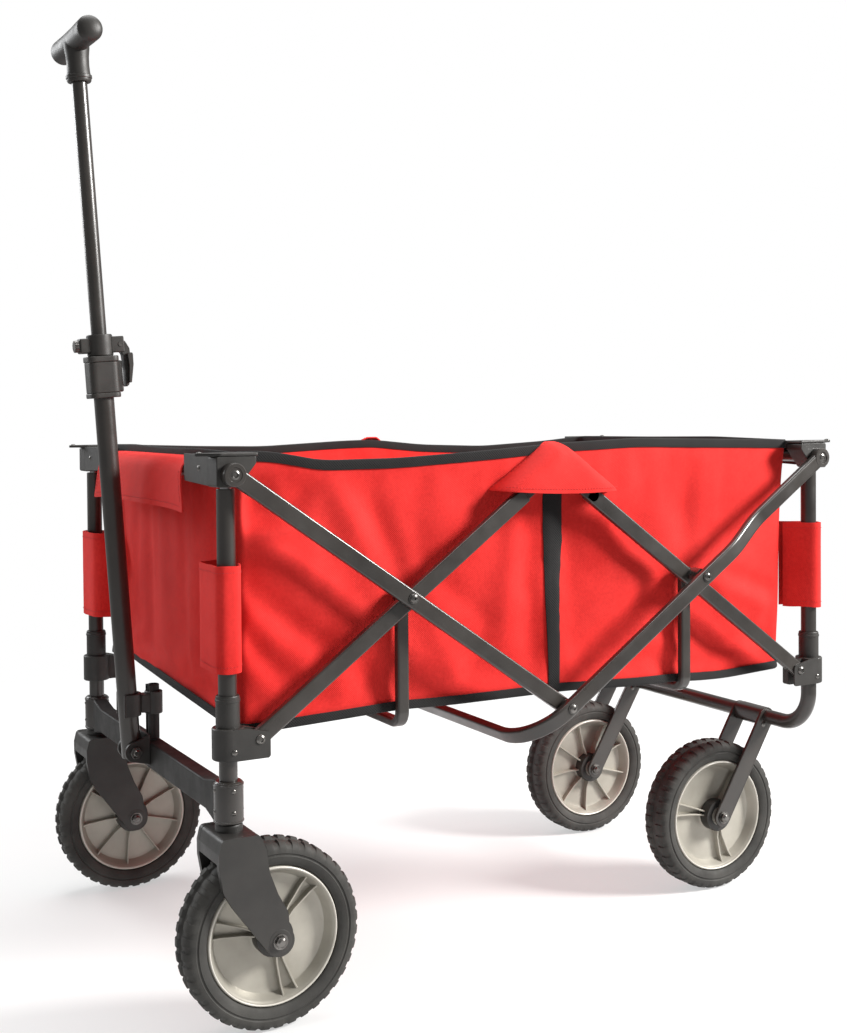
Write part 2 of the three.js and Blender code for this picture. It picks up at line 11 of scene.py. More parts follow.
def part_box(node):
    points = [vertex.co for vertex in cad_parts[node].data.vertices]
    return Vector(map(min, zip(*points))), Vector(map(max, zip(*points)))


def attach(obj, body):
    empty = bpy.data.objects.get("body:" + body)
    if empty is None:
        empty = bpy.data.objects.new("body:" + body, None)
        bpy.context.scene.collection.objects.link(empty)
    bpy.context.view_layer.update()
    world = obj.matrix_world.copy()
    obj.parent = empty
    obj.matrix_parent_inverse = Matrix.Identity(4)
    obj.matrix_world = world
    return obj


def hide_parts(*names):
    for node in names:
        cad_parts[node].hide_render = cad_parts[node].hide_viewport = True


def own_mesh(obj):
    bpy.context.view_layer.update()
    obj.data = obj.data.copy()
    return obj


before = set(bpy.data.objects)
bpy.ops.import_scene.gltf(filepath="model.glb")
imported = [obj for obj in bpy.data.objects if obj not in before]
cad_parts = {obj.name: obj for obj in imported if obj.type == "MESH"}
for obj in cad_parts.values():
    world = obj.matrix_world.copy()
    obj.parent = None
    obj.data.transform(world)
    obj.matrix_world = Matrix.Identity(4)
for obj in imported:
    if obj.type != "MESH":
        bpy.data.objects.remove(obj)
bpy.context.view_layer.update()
SCENE = bpy.context.scene

# ------------------------------------------------------------------ dimensions, mm
_lo, _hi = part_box("front_post_left")
FRONT_X = (_lo.x + _hi.x) / 2  # metres
BASE = 836.0
HALF = 253.0
MID = BASE / 2
WHEEL_R = 101.6
POST_TOP = 583.0
TOP_PIVOT = (1.0, 598.5)
LOW_PIVOT = (30.5, 315.5)
CROSS = (212.5, 454.5)
RIDGE_Z = 598.0
KEEL_Z = 2 * CROSS[1] - RIDGE_Z
LEG_PLANE = (-8.0, 2.0)
INNER_PLANE = (5.0, 15.0)
LONG_PLANE = (17.0, 27.0)
OUTER_PLANE = (32.0, 42.0)
ARM_R = 9.5
TRAIL = 44.0
REAR_WHEEL_X = BASE - 82
REAR_WHEEL_Y = 147.0
CROSS_TUBE_Z = 232.0
HANDLE = (-28.7, 254.0)
LEAN = radians(3.85)
GAP = 0.3
TUB_X0 = 18.0
TUB_Y = 241.0
TUB_Z0 = 315.0
TUB_Z1 = 618.0
SIDES = (("left", -1), ("right", 1))
ENDS = (("front", 0.0, 1), ("rear", BASE, -1))


def pt(x, y, z):
    return Vector((FRONT_X + x / 1000, y / 1000, z / 1000))


def add(name, data):
    ob = bpy.data.objects.new(name, data)
    SCENE.collection.objects.link(ob)
    return ob


def step(a, b, x):
    """0 before a, 1 after b, and a smooth rise between them."""
    t = min(max((x - a) / (b - a), 0.0), 1.0)
    return t * t * (3 - 2 * t)


# ------------------------------------------------------------------ camera
def add_camera():
    yaw, pitch, roll = (radians(a) for a in (28.02, -1.14, -0.44))
    forward = Vector((sin(yaw) * cos(pitch), cos(yaw) * cos(pitch), sin(pitch)))
    right = Vector((cos(yaw), -sin(yaw), 0))
    up = right.cross(forward)
    c, s = cos(roll), sin(roll)
    right, up = c * right + s * up, -s * right + c * up
    data = bpy.data.cameras.new("camera")
    data.sensor_width = 36
    data.lens = 47.53
    data.shift_x, data.shift_y = 0.0280, -0.0730
    data.clip_start, data.clip_end = 0.05, 50
    cam = add("camera", data)
    m = Matrix((right, up, -forward)).transposed().to_4x4()
    m.translation = pt(-520.86, -1614.89, 661.02)
    cam.matrix_world = m
    SCENE.camera = cam


add_camera()


# ------------------------------------------------------------------ materials
def put(tree, socket, value):
    """Gives a socket a link or a number."""
    if isinstance(value, bpy.types.NodeSocket):
        tree.links.new(value, socket)
    else:
        socket.default_value = value


class Nodes:
    """A short way to write a material's node tree."""

    def __init__(self, name):
        self.mat = bpy.data.materials.new(name)
        self.mat.use_nodes = True
        self.tree = self.mat.node_tree
        self.tree.nodes.clear()
        self.out = self.tree.nodes.new("ShaderNodeOutputMaterial")
        self.bsdf = self.tree.nodes.new("ShaderNodeBsdfPrincipled")
        self.link(self.bsdf.outputs[0], self.out.inputs[0])
        self.coord = self.tree.nodes.new("ShaderNodeTexCoord")

    def link(self, a, b):
        self.tree.links.new(a, b)

    def node(self, kind, **inputs):
        n = self.tree.nodes.new(kind)
        for key, value in inputs.items():
            if key[0] == "_":
                setattr(n, key[1:], value)
            else:
                put(self.tree, n.inputs[key.replace("_", " ")], value)
        return n

    def maths(self, operation, *values):
        n = self.node("ShaderNodeMath", _operation=operation)
        for socket, value in zip(n.inputs, values):
            put(self.tree, socket, value)
        return n.outputs[0]

    def noise(self, scale, detail=3.0, rough=0.55, coord="Object"):
        return self.node("ShaderNodeTexNoise", Vector=self.coord.outputs[coord], Scale=scale, Detail=detail,
                         Roughness=rough).outputs["Fac"]

    def ramp(self, fac, a, b, lo=0.0, hi=1.0):
        n = self.node("ShaderNodeValToRGB", Fac=fac)
        n.color_ramp.elements[0].position, n.color_ramp.elements[1].position = lo, hi
        n.color_ramp.elements[0].color, n.color_ramp.elements[1].color = (*a, 1), (*b, 1)
        return n.outputs["Color"]

    def grey(self, fac, a, b, lo=0.0, hi=1.0):
        n = self.node("ShaderNodeMapRange", Value=fac, From_Min=lo, From_Max=hi, To_Min=a, To_Max=b)
        return n.outputs[0]

    def bump(self, height, distance, strength=1.0, normal=None):
        n = self.node("ShaderNodeBump", Height=height, Distance=distance, Strength=strength)
        if normal is not None:
            self.link(normal, n.inputs["Normal"])
        return n.outputs[0]

    def set(self, **inputs):
        for key, value in inputs.items():
            put(self.tree, self.bsdf.inputs[key.replace("_", " ")], value)
        return self.mat


def surface(name, slot, dark, light, blotch, spread, mottle, gloss, grain, bump, **more):
    """A hard look: a base colour in soft blotches, uneven gloss and a fine grain."""
    n = Nodes(name)
    return n.set(Base_Color=n.ramp(n.noise(*blotch), dark, light, *spread),
                 Roughness=n.grey(n.noise(*mottle), *gloss, 0.3, 0.7),
                 Normal=n.bump(n.noise(*grain), *bump), **more), slot


def weave(n, pitch):
    """Height of a plain weave from the piece's UV map, which is in metres of cloth."""
    uv = n.node("ShaderNodeSeparateXYZ", Vector=n.coord.outputs["UV"])
    waves = [n.maths("SINE", n.maths("MULTIPLY", uv.outputs[axis], pi / pitch)) for axis in ("X", "Y")]
    return n.maths("MULTIPLY", *waves)


def cloth(name, slot, dark, light, pitch, depth, rough, sheen, sheen_tint):
    """A woven look: colour in blotches, threads and slubs as bump, and a little sheen."""
    n = Nodes(name)
    threads = weave(n, pitch)
    slub, blotch, fine = n.noise(650, 3, 0.6), n.noise(7, 5, 0.6), n.noise(240, 4, 0.65)
    colour = n.ramp(n.maths("MULTIPLY_ADD", fine, 0.45, blotch), dark, light, 0.50, 0.95)
    coarse = n.bump(slub, depth * 1.2, 0.5)
    return n.set(Base_Color=colour, Roughness=n.grey(fine, rough - 0.05, rough + 0.07, 0.3, 0.7),
                 Specular_IOR_Level=0.14, Sheen_Weight=sheen, Sheen_Roughness=0.5,
                 Sheen_Tint=(*sheen_tint, 1), Normal=n.bump(threads, depth, 0.8, coarse)), slot


#                name, slot, dark, light, blotches, their spread, mottle, gloss, grain, its height
PAINT = surface("satin_black_paint", "frame_paint", (0.020, 0.0172, 0.0152), (0.036, 0.0312, 0.0272), (9, 4),
                (0.35, 0.7), (40, 5), (0.27, 0.42), (900, 2), (0.00012, 0.5), Specular_IOR_Level=0.55,
                Coat_Weight=0.35, Coat_Roughness=0.18)
MATT = surface("matt_black_paint", "frame_paint", (0.010, 0.0095, 0.009), (0.019, 0.018, 0.017), (9, 4),
               (0.35, 0.7), (40, 5), (0.5, 0.66), (900, 2), (0.00012, 0.5), Specular_IOR_Level=0.3)
STEEL = surface("zinc_steel", "steel", (0.42, 0.42, 0.43), (0.62, 0.62, 0.62), (60, 3), (0.3, 0.7), (180, 4),
                (0.22, 0.42), (700, 2), (0.0001, 0.4), Metallic=1.0)
BOLT = surface("dark_bolt", "steel", (0.09, 0.087, 0.083), (0.22, 0.21, 0.20), (80, 3), (0.3, 0.7), (200, 4),
               (0.22, 0.38), (600, 2), (0.0001, 0.4), Metallic=0.9)
PLASTIC = surface("black_plastic", "black_plastic", (0.019, 0.0178, 0.0165), (0.035, 0.0325, 0.0295), (14, 4),
                  (0.35, 0.7), (60, 5), (0.40, 0.55), (1400, 2), (0.00018, 0.6), Specular_IOR_Level=0.5)
RIM = surface("grey_rim_plastic", "rim_plastic", (0.31, 0.292, 0.25), (0.44, 0.418, 0.365), (16, 5),
              (0.3, 0.72), (50, 5), (0.32, 0.48), (1100, 2), (0.00015, 0.5), Metallic=0.3,
              Specular_IOR_Level=0.45)
# Painted highlight: the raised bead at the rim's lip gets a lighter grey than the rim, standing in for the
# highlight along its edge.
RIM_LIP_PAINTED_HIGHLIGHT = surface("rim_lip_painted_highlight", "rim_plastic", (0.52, 0.495, 0.44), (0.64, 0.61, 0.555), (40, 4),
                  (0.3, 0.7), (90, 4), (0.25, 0.38), (900, 2), (0.0001, 0.4))
TYRE = surface("tyre_rubber", "tyre", (0.030, 0.029, 0.027), (0.060, 0.058, 0.053), (22, 6), (0.35, 0.75),
               (70, 5), (0.62, 0.84), (520, 4), (0.00035, 0.6), Specular_IOR_Level=0.35)
RED = cloth("red_oxford_cloth", "red_fabric", (0.58, 0.014, 0.012), (0.80, 0.038, 0.033), 0.0011, 0.00022,
            0.7, 0.03, (1.0, 0.25, 0.2))
BLACK = cloth("black_webbing", "black_webbing", (0.008, 0.008, 0.0085), (0.022, 0.021, 0.021), 0.0016, 0.0003,
              0.75, 0.12, (0.6, 0.6, 0.6))
THREAD = cloth("red_thread", "red_fabric", (0.40, 0.010, 0.012), (0.62, 0.05, 0.05), 0.0008, 0.0001, 0.6, 0.2,
               (1.0, 0.4, 0.35))


# ------------------------------------------------------------------ mesh tools
class Maker:
    """Collects shells in millimetres, then makes one piece of them."""

    def __init__(self):
        self.bm = bmesh.new()

    def grid(self, rows, close_rows=False, cap=False):
        """Faces between rows of points; each row is a ring."""
        verts = [[self.bm.verts.new(p) for p in row] for row in rows]
        n = len(verts[0])
        rings = verts + verts[:1] if close_rows else verts
        for a, b in zip(rings, rings[1:]):
            for k in range(n):
                j = (k + 1) % n
                self.bm.faces.new((a[k], a[j], b[j], b[k]))
        if cap:
            self.bm.faces.new(verts[0][::-1])
            self.bm.faces.new(verts[-1])
        return verts

    def lathe(self, axis, origin, profile, segs=48):
        """Turned body about an axis through origin; profile is (radius, height) points in order."""
        shift = Vector(origin)
        rows = []
        for r, h in profile:
            row = []
            for i in range(segs):
                t = 2 * pi * i / segs
                a, b = r * cos(t), r * sin(t)
                row.append(Vector({"x": (h, a, b), "y": (b, h, a), "z": (a, b, h)}[axis]) + shift)
            rows.append(row)
        pointed = [r < 1e-6 for r, _ in profile]
        if not any(pointed):
            self.grid(rows, close_rows=True)
            return
        made = self.grid([row for row, point in zip(rows, pointed) if not point])
        for end in (0, -1):
            if pointed[end]:
                ring, tip = made[end], self.bm.verts.new(rows[end][0])
                for k in range(segs):
                    self.bm.faces.new((ring[k], ring[(k + 1) % segs], tip))

    def plate(self, outline, lay, w0, w1, bevel=0.0, steps=2):
        """Prism of an outline; lay(u, v, w) gives the point. Edges are rounded by bevel."""
        bm = bmesh.new()
        low = [bm.verts.new(lay(u, v, w0)) for u, v in outline]
        high = [bm.verts.new(lay(u, v, w1)) for u, v in outline]
        bm.faces.new(low)
        bm.faces.new(high[::-1])
        n = len(outline)
        for k in range(n):
            j = (k + 1) % n
            bm.faces.new((low[k], high[k], high[j], low[j]))
        bmesh.ops.recalc_face_normals(bm, faces=bm.faces)
        if bevel:
            sharp = [e for e in bm.edges if e.calc_face_angle(0) > radians(28)]
            bmesh.ops.bevel(bm, geom=sharp, offset=bevel, segments=steps, profile=0.5, affect="EDGES",
                            clamp_overlap=True)
        self.take(bm)

    def box(self, x, y, z, bevel=0.6, steps=2):
        outline = [(x[0], z[0]), (x[1], z[0]), (x[1], z[1]), (x[0], z[1])]
        self.plate(outline, side_lay, y[0], y[1], bevel, steps)

    def take(self, other):
        mesh = bpy.data.meshes.new("scratch")
        other.to_mesh(mesh)
        other.free()
        self.bm.from_mesh(mesh)
        bpy.data.meshes.remove(mesh)

    def move(self, matrix):
        bmesh.ops.transform(self.bm, matrix=matrix, verts=self.bm.verts)

    def mesh(self, name, weld=True):
        """The shells as a mesh in the row frame; the maker is then empty and ready for the next piece."""
        bm = self.bm
        if weld:
            bmesh.ops.remove_doubles(bm, verts=bm.verts, dist=1e-4)
        bmesh.ops.recalc_face_normals(bm, faces=bm.faces)
        for v in bm.verts:
            v.co = pt(*v.co)
        mesh = bpy.data.meshes.new(name)
        bm.to_mesh(mesh)
        bm.free()
        self.bm = bmesh.new()
        return mesh

    def piece(self, name, look, body, *nodes, smooth=32, weld=True):
        return piece_of(name, self.mesh(name, weld), look, body, nodes, smooth)


def piece_of(name, mesh, look, body, nodes=(), smooth=32):
    material, slot = look
    mesh.polygons.foreach_set("use_smooth", [True] * len(mesh.polygons))
    mesh.set_sharp_from_angle(angle=radians(smooth))
    ob = add(name, mesh)
    if smooth < 60:
        flat = ob.modifiers.new("flat faces stay flat", "WEIGHTED_NORMAL")
        flat.keep_sharp = True
        flat.weight = 80
    mesh.materials.append(material)
    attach(ob, body)
    if nodes:
        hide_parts(*nodes)
    return ob


def side_lay(u, v, w):
    return (u, w, v)


def end_lay(u, v, w):
    return (w, u, v)


def top_lay(u, v, w):
    return (u, v, w)


def capsule(a, b, r, steps=14):
    along = atan2(b[1] - a[1], b[0] - a[0])
    out = []
    for c, start in ((a, along + pi / 2), (b, along - pi / 2)):
        for i in range(steps + 1):
            t = start + pi * i / steps
            out.append((c[0] + r * cos(t), c[1] + r * sin(t)))
    return out


def rounded(points, r, steps=4):
    """An outline with its corners rounded by r (a number or one per corner)."""
    out = []
    n = len(points)
    radii = r if isinstance(r, (list, tuple)) else [r] * n
    for i, p in enumerate(points):
        p = Vector(p)
        a, b = Vector(points[i - 1]) - p, Vector(points[(i + 1) % n]) - p
        half = a.angle(b) / 2
        cut = min(radii[i] / max(tan(half), 1e-3), a.length * 0.49, b.length * 0.49)
        if cut < 1e-3:
            out.append(tuple(p))
            continue
        s, e = p + a.normalized() * cut, p + b.normalized() * cut
        for k in range(steps + 1):
            t = k / steps
            q = s.lerp(p, t).lerp(p.lerp(e, t), t)
            out.append((q.x, q.y))
    return out


def oval(wide, thick, r, steps=5):
    w, t = wide / 2, thick / 2
    return rounded([(w, t), (-w, t), (-w, -t), (w, -t)], r, steps)


def ring(r, segs=32):
    return [(r * cos(2 * pi * i / segs), r * sin(2 * pi * i / segs)) for i in range(segs)]


def arc(cx, cy, r, degrees):
    return [(cx + r * cos(t), cy + r * sin(t)) for t in [radians(a) for a in degrees]]


def sweep_rows(section, path, across, mitred=True):
    """A section of (across, in-plane) points at each point of a planar path."""
    rows = []
    across = Vector(across).normalized()
    for i, p in enumerate(path):
        p = Vector(p)
        before = (p - Vector(path[i - 1])).normalized() if i else None
        after = (Vector(path[i + 1]) - p).normalized() if i + 1 < len(path) else None
        before, after = before or after, after or before
        along = (before + after).normalized()
        inside = along.cross(across)
        mitre = 1 / max(along.dot(before), 0.3) if mitred else 1
        rows.append([p + across * a + inside * b * mitre for a, b in section])
    return rows


def u_path(half, top, bottom, radius, place, steps=16):
    turn = []
    for i in range(steps + 1):
        t = i / steps * pi / 2
        turn.append((half - radius + radius * cos(t), bottom + radius - radius * sin(t)))
    right = [(half, top)] + turn
    left = [(-v, h) for v, h in reversed(right)]
    return [place(v, h) for v, h in right + left]


def dome(maker, axis, p, r, h, out_dir, recess=0.0, segs=24):
    """A rivet or bolt head standing h out of a face at p along axis; out_dir is +1 or -1."""
    cap = [(r * cos(t), h * sin(t)) for t in [i / 6 * pi / 2 for i in range(6)]]
    if recess:
        cap = cap[:4] + [(recess, h * 0.9), (recess * 0.8, h * 0.45), (0.0, h * 0.45)]
    else:
        cap.append((0.0, h))
    maker.lathe(axis, p, [(a, b * out_dir) for a, b in [(0.0, -0.6), (r, -0.6)] + cap], segs)


def at(end_x, direction, u):
    return end_x + direction * u


def off(s, o):
    return s * (HALF + o)


def sleeve(r0, r1, h0, h1, dr, dh):
    """Profile of a tube from r0 to r1 with its outer edges chamfered."""
    return [(r0, h0), (r1 - dr, h0), (r1, h0 + dh), (r1, h1 - dh), (r1 - dr, h1), (r0, h1)]


def collar(m, p, r, h, edge, segs):
    """A thin raised band round a tube at p: r at its foot, edge further out."""
    m.lathe("z", p, [(r, -h[0]), (r + edge, -h[1]), (r + edge, h[1]), (r, h[0])], segs)


def front_post(side, s):
    y = off(s, 0)
    m = Maker()
    m.lathe("z", (0, y, 0), [(10, 236.6), (10, 582), (9.6, 583), (8.9, 583), (8.8, 582), (8.8, 236.6)], 48)
    m.piece(f"post_{side}", PAINT, "front_frame", f"front_post_{side}")


def caster_socket(side, s):
    y = off(s, 0)
    m = Maker()
    m.lathe("z", (0, y, 0), [(6.4, 227), (14, 227), (15.4, 227.8), (16, 229.4), (16, 268.6), (15.4, 270.6),
                             (13.6, 272), (10.4, 272), (10.4, 236), (6.4, 236)], 56)
    for z in (229.6, 268.4):
        collar(m, (0, y, z), 15.6, (1.3, 0.7), 0.9, 56)
    m.piece(f"socket_{side}", PAINT, "front_frame", f"caster_socket_{side}")
    for z in (263, 240):
        for d in (-1, 1):
            dome(m, "x", (d * 15.6, y, z), 2.8, 1.5, d)
            dome(m, "y", (0, y + d * 15.6, z), 2.8, 1.5, d)
    m.piece(f"socket_rivets_{side}", BOLT, "front_frame")


def crossbar():
    reach = HALF - 16 - GAP
    top = [(reach, 222), (reach, 270), (reach - 10, 268), (reach - 34, 263)]
    under = [(-reach + 30, 231), (-reach + 11, 226), (-reach, 222)]
    edge = top + [(-v, h) for v, h in top[:0:-1]] + under[::-1] + [(-v, h) for v, h in under[:-1]]
    m = Maker()
    m.plate(edge, end_lay, -10, 10, 2.4, 3)
    m.piece("crossbar", MATT, "front_frame", "front_crossbar")
    m.lathe("z", (0, 0, 0), [(5.6, 264.4), (7, 265), (7, 331), (6.4, 332), (5.6, 332)], 40)
    for k in (-1, 1):
        m.box((-7.4, -3.2), (k * 7.6 - 1.2, k * 7.6 + 1.2), (266, 331), 0.5)
    m.piece("centre_post_tube", MATT, "front_frame", "centre_post")


def lower_bracket(end, x0, d, side, s):
    y = off(s, 0)
    body = f"{end}_frame"
    m = Maker()
    m.lathe("z", (x0, y, 0), sleeve(10.4, 17.4, 295, 329, 0.8, 1), 56)
    cheek = rounded([(0, 295), (40, 295), (42, 297), (42, 320), (40, 322.5), (14, 329), (0, 329)],
                    [0.1, 2, 2, 4, 4, 12, 0.1], 4)
    cheek = [(at(x0, d, u), z) for u, z in cheek]
    m.plate(cheek, side_lay, off(s, 15.3), off(s, 17.4), 0.7, 2)
    m.plate(cheek, side_lay, off(s, -5), off(s, 4.7), 0.8, 2)
    top = 363
    m.lathe("z", (x0, y, 0), [(10.4, 300), (12.6, 300), (13, 301), (13, top - 1.4), (12.2, top), (10.4, top)])
    collar(m, (x0, y, top - 5), 12.6, (2, 1.2), 1.0, 48)
    m.piece(f"{end}_bracket_{side}", PLASTIC, body, f"{end}_lower_bracket_{side}")
    x, z = at(x0, d, LOW_PIVOT[0]), LOW_PIVOT[1]
    pin(m, (x, z), 4.7, 15.4, s)
    dome(m, "y", (x, off(s, 17.3), z), 5.6, 2.8, s, 2.6, 28)
    dome(m, "y", (at(x0, d, 1), off(s, 17.3), 304.7), 3.4, 1.7, s)
    dome(m, "y", (x, off(s, -5), z), 5.6, 2.2, -s, 2.4, 28)
    m.piece(f"{end}_bracket_bolts_{side}", BOLT, body)


def rear_frame():
    path = u_path(HALF, POST_TOP, CROSS_TUBE_Z, 48, lambda y, z: (BASE, y, z), 18)
    outer, bore = (sweep_rows(ring(r, 40), path, (1, 0, 0), mitred=False) for r in (10, 8.8))
    m = Maker()
    m.grid(outer + bore[::-1], close_rows=True)
    m.piece("rear_frame_tube", PAINT, "rear_frame", "rear_frame", weld=False)


def rear_wheel_bracket(side, s):
    yw = s * REAR_WHEEL_Y
    foot, head = Vector((REAR_WHEEL_X, WHEEL_R)), Vector((BASE - 2, CROSS_TUBE_Z))
    run = (head - foot).normalized()
    across = Vector((-run.y, run.x))
    m = Maker()
    for k in (-1, 1):
        m.plate(capsule(foot, head, 13), side_lay, yw + k * 27 - 2, yw + k * 27 + 2, 0.9, 2)
        for q in (-1, 1):
            a, b = foot + run * 16 + across * (12.4 * q), head - run * 14 + across * (12.4 * q)
            rib = [tuple(p) for p in (a - across * q * 1.6, a, b, b - across * q * 1.6)]
            m.plate(rib, side_lay, yw + k * 27, yw + k * 29.2, 0.5, 1)
    x0, x1 = BASE - 13, BASE + 10.5
    saddle = rounded([(x0, 219), (x1, 219), (x1, 244), (x0, 244)], 9)
    m.plate(saddle, side_lay, yw - 26, yw + 26, 1.2, 2)
    m.piece(f"wheel_bracket_{side}", PAINT, "rear_frame", f"rear_wheel_bracket_{side}")
    for k in (-1, 1):
        dome(m, "y", (BASE - 9, yw + k * 29, 222), 3.6, 1.6, k)
    m.piece(f"wheel_bracket_rivets_{side}", BOLT, "rear_frame")


# ------------------------------------------------------------------ wheels
def nut(m, x, y0, y1, z, r):
    """Hexagon nut or head."""
    hexagon = [(x + r * cos(pi * k / 3), z + r * sin(pi * k / 3)) for k in range(6)]
    m.plate(hexagon, side_lay, y0, y1, 0.8, 2)


def axle(name, body, x, y, reach, node):
    m = Maker()
    end = reach + 1
    m.lathe("y", (x, y, WHEEL_R), [(0, -end - 5.5), (3.4, -end - 5.5), (5, -end - 4), (5, end), (0, end)], 28)
    for d in (-1, 1):
        nut(m, x, y + d * reach, y + d * (reach + 4.5), WHEEL_R, 7.0)
        m.lathe("y", (x, y + d * (reach + 0.1), WHEEL_R), [(5, 0), (8.4, 0), (8.4, d), (5, d)], 32)
        dome(m, "y", (x, y + d * (reach + 4.4), WHEEL_R), 5.4, 1.6, d, 2.2)
    m.piece(name, BOLT, body, node)


def tyre(name, body, x, y, node):
    """Solid tyre: smooth walls, a groove round each wall, and two staggered rows of tread blocks."""
    blocks, share, edge = 40, 0.62, 0.045
    low = [(76, 16), (77.5, 18.2), (82, 20.2), (86.2, 20.9), (87.3, 19.9), (88.5, 19.9), (89.6, 20.9),
           (93.4, 20.7), (96.8, 18.8), (98.9, 15.2), (99.4, 11.4), (99.4, 6.6), (99.0, 5.4), (97.4, 3.4),
           (97.4, 0.0)]
    high = low[:6] + [(89.6, 20.9), (93.6, 20.8), (97.6, 19.0), (100.4, 15.4), (101.4, 11.4), (101.4, 6.6),
                      (99.2, 4.8), (97.4, 3.4), (97.4, 0.0)]
    pitch = 2 * pi / blocks
    ends = [(start + e) % 1 for start in (0, 0.5) for e in (0, edge, share - edge, share)]
    marks = sorted({round(k, 4) for k in ends + [0.25, 0.75]})

    def inside(phase, row):
        k = (phase - 0.5 * row) % 1
        return edge - 1e-4 <= k <= share - edge + 1e-4

    m = Maker()
    rows = []
    for b in range(blocks):
        for phase in marks:
            t = (b + phase) * pitch
            near, far = (high if inside(phase, row) else low for row in (0, 1))
            points = [(r, -h) for r, h in near] + far[-2::-1]
            rows.append([(x + r * cos(t), y + h, WHEEL_R + r * sin(t)) for r, h in points])
    m.grid(rows, close_rows=True)
    m.piece(name, TYRE, body, node, smooth=38)


def rim(name, body, x, y, node, out):
    """Moulded wheel: thin web; three pairs of ribs on the outer face, nine ribs on the inner one."""
    m = Maker()
    half = [(5.4, 20), (13.4, 20), (15.6, 19.2), (16.6, 17.4), (17.6, 8.4), (20.4, 4.6), (24, 3.4), (60, 3.0),
            (64.5, 4.4), (67.4, 9), (69.4, 14.0), (71.0, 15.4), (72.0, 17.0), (73.6, 17.2), (75.2, 16.2),
            (75.7, 15.0)]
    m.lathe("y", (x, y, WHEEL_R), [(r, -h) for r, h in half] + half[::-1], 112)
    rib = [(14, 1.5), (68.4, 1.5), (69.6, 13.0), (60, 10.6), (34, 10.2), (17, 15.5), (14, 15.5)]
    outer = [120 * k + 47 + q * 7 for k in range(3) for q in (-1, 1)]
    for d, turns in ((out, outer), (-out, [40 * k + 65 for k in range(9)])):
        for turn in turns:
            t = radians(turn)
            run, across = Vector((cos(t), sin(t))), Vector((-sin(t), cos(t)))

            def lay(r, h, w):
                p = run * r + across * w
                return (x + p.x, y + d * h, WHEEL_R + p.y)

            m.plate(rib, lay, -1.0, 1.0, 0.4, 1)
    m.piece(name, RIM, body, node, smooth=36)
    cap = [(17.2, 6), (21.6, 6), (21.6, 18.6), (20.8, 20), (13.6, 20.4), (12.6, 20.2), (17.2, 17)]
    # The lip bead's lighter grey is a painted highlight, not a lighter plastic.
    lip_highlight_profile = [(72.2, 15.2), (72.7, 17.4), (73.6, 17.9), (74.5, 17.4), (75, 15.2)]
    for part, look, profile, segs in (("hub", PLASTIC, cap, 48), ("lip", RIM_LIP_PAINTED_HIGHLIGHT, lip_highlight_profile, 112)):
        for d in (-1, 1):
            m.lathe("y", (x, y, WHEEL_R), [(r, d * h) for r, h in profile], segs)
        m.piece(f"{part}_{name}", look, body)


def fork(side, s):
    y = off(s, 0)
    m = Maker()
    stem = [(0, 210), (15, 210), (15, 224.6), (14, 226.4), (6, 226.4), (6, 259), (5, 260), (0, 260)]
    m.lathe("z", (0, y, 0), stem)
    crown = [(-24, 204), (-20.5, 219), (22, 219), (29, 204), (29, 192), (-24, 192)]
    m.plate(rounded(crown, [4, 7, 7, 5, 1, 1], 5), side_lay, y - 31, y + 31, 1.5, 2)
    foot = arc(TRAIL, WHEEL_R, 16.5, range(218, 412, 12))
    corners = ([(-20.5, 219.2), (-24.2, 204), (-24, 188), (-19.5, 163), (-8, 144)] + foot
               + [(54, 131), (42, 153), (32.5, 178), (29.2, 203), (22, 219.2)])
    outline = rounded(corners, [6, 6, 16, 20, 14] + [0.01] * len(foot) + [16, 20, 24, 8, 7], 5)
    boss = [(5.4, -3.8), (13, -3.8), (13, 3.4), (12, 4.0), (5.4, 4.0)]
    for k in (-1, 1):
        m.plate(outline, side_lay, y + k * 30.5 - 3.5, y + k * 30.5 + 3.5, 2.0, 3)
        m.lathe("y", (TRAIL, y + k * 30.5, WHEEL_R), [(r, k * h) for r, h in boss], 40)
    m.piece(f"fork_{side}", PLASTIC, f"caster_{side}", f"caster_fork_{side}")


def pin(m, p, o0, o1, s, r=4.0, segs=24):
    m.lathe("y", (p[0], 0, p[1]), [(0, off(s, o0)), (r, off(s, o0)), (r, off(s, o1)), (0, off(s, o1))], segs)


def washer(m, p, o0, o1, s, r=7.0):
    pin(m, p, o0, o1, s, r, 28)


def pin_head(m, p, s, o):
    """Washer and rivet head on the outer end of a pin, on a face at o."""
    washer(m, p, o + 0.2, o + 1.0, s, 6.4)
    dome(m, "y", (p[0], off(s, o + 0.9), p[1]), 5.2, 2.6, s, 1.6)


def inner_arm(end, x0, d, side, s):
    low, mid, high = ((at(x0, d, u), z) for u, z in (LOW_PIVOT, CROSS, (MID, RIDGE_Z)))
    body = f"{end}_inner_arms"
    run = (Vector(high) - Vector(low)).normalized()
    knee = Vector(high) - run * 55.5
    m = Maker()
    round_end = [p for p in capsule(low, tuple(knee), ARM_R) if (Vector(p) - knee).dot(run) < 0.1]
    m.plate(round_end, side_lay, off(s, INNER_PLANE[0]), off(s, INNER_PLANE[1]), 2.3, 3)
    lap = (5.0, 9.85) if d > 0 else (10.15, 15.0)
    start = knee - run * 8
    m.plate(capsule(tuple(start), high, ARM_R - 0.1), side_lay, off(s, lap[0]), off(s, lap[1]), 1.6, 2)
    m.piece(f"{end}_inner_bar_{side}", PAINT, body, f"{end}_inner_arm_{side}")
    far = LONG_PLANE if d > 0 else OUTER_PLANE
    pin(m, mid, LEG_PLANE[0] - 2.4, far[1] + 1, s)
    washer(m, mid, LEG_PLANE[0] - 2.7, LEG_PLANE[0] - 0.3, s)
    washer(m, mid, LEG_PLANE[1] + 0.3, INNER_PLANE[0], s, 9)
    washer(m, mid, INNER_PLANE[1], far[0] - 0.3, s, 9)
    pin_head(m, mid, s, far[1])
    if d > 0:
        pin(m, high, 5, 16, s)
        dome(m, "y", (high[0], off(s, 15.4), high[1]), 6.4, 2.6, s)
    m.piece(f"{end}_cross_pin_{side}", BOLT, body)


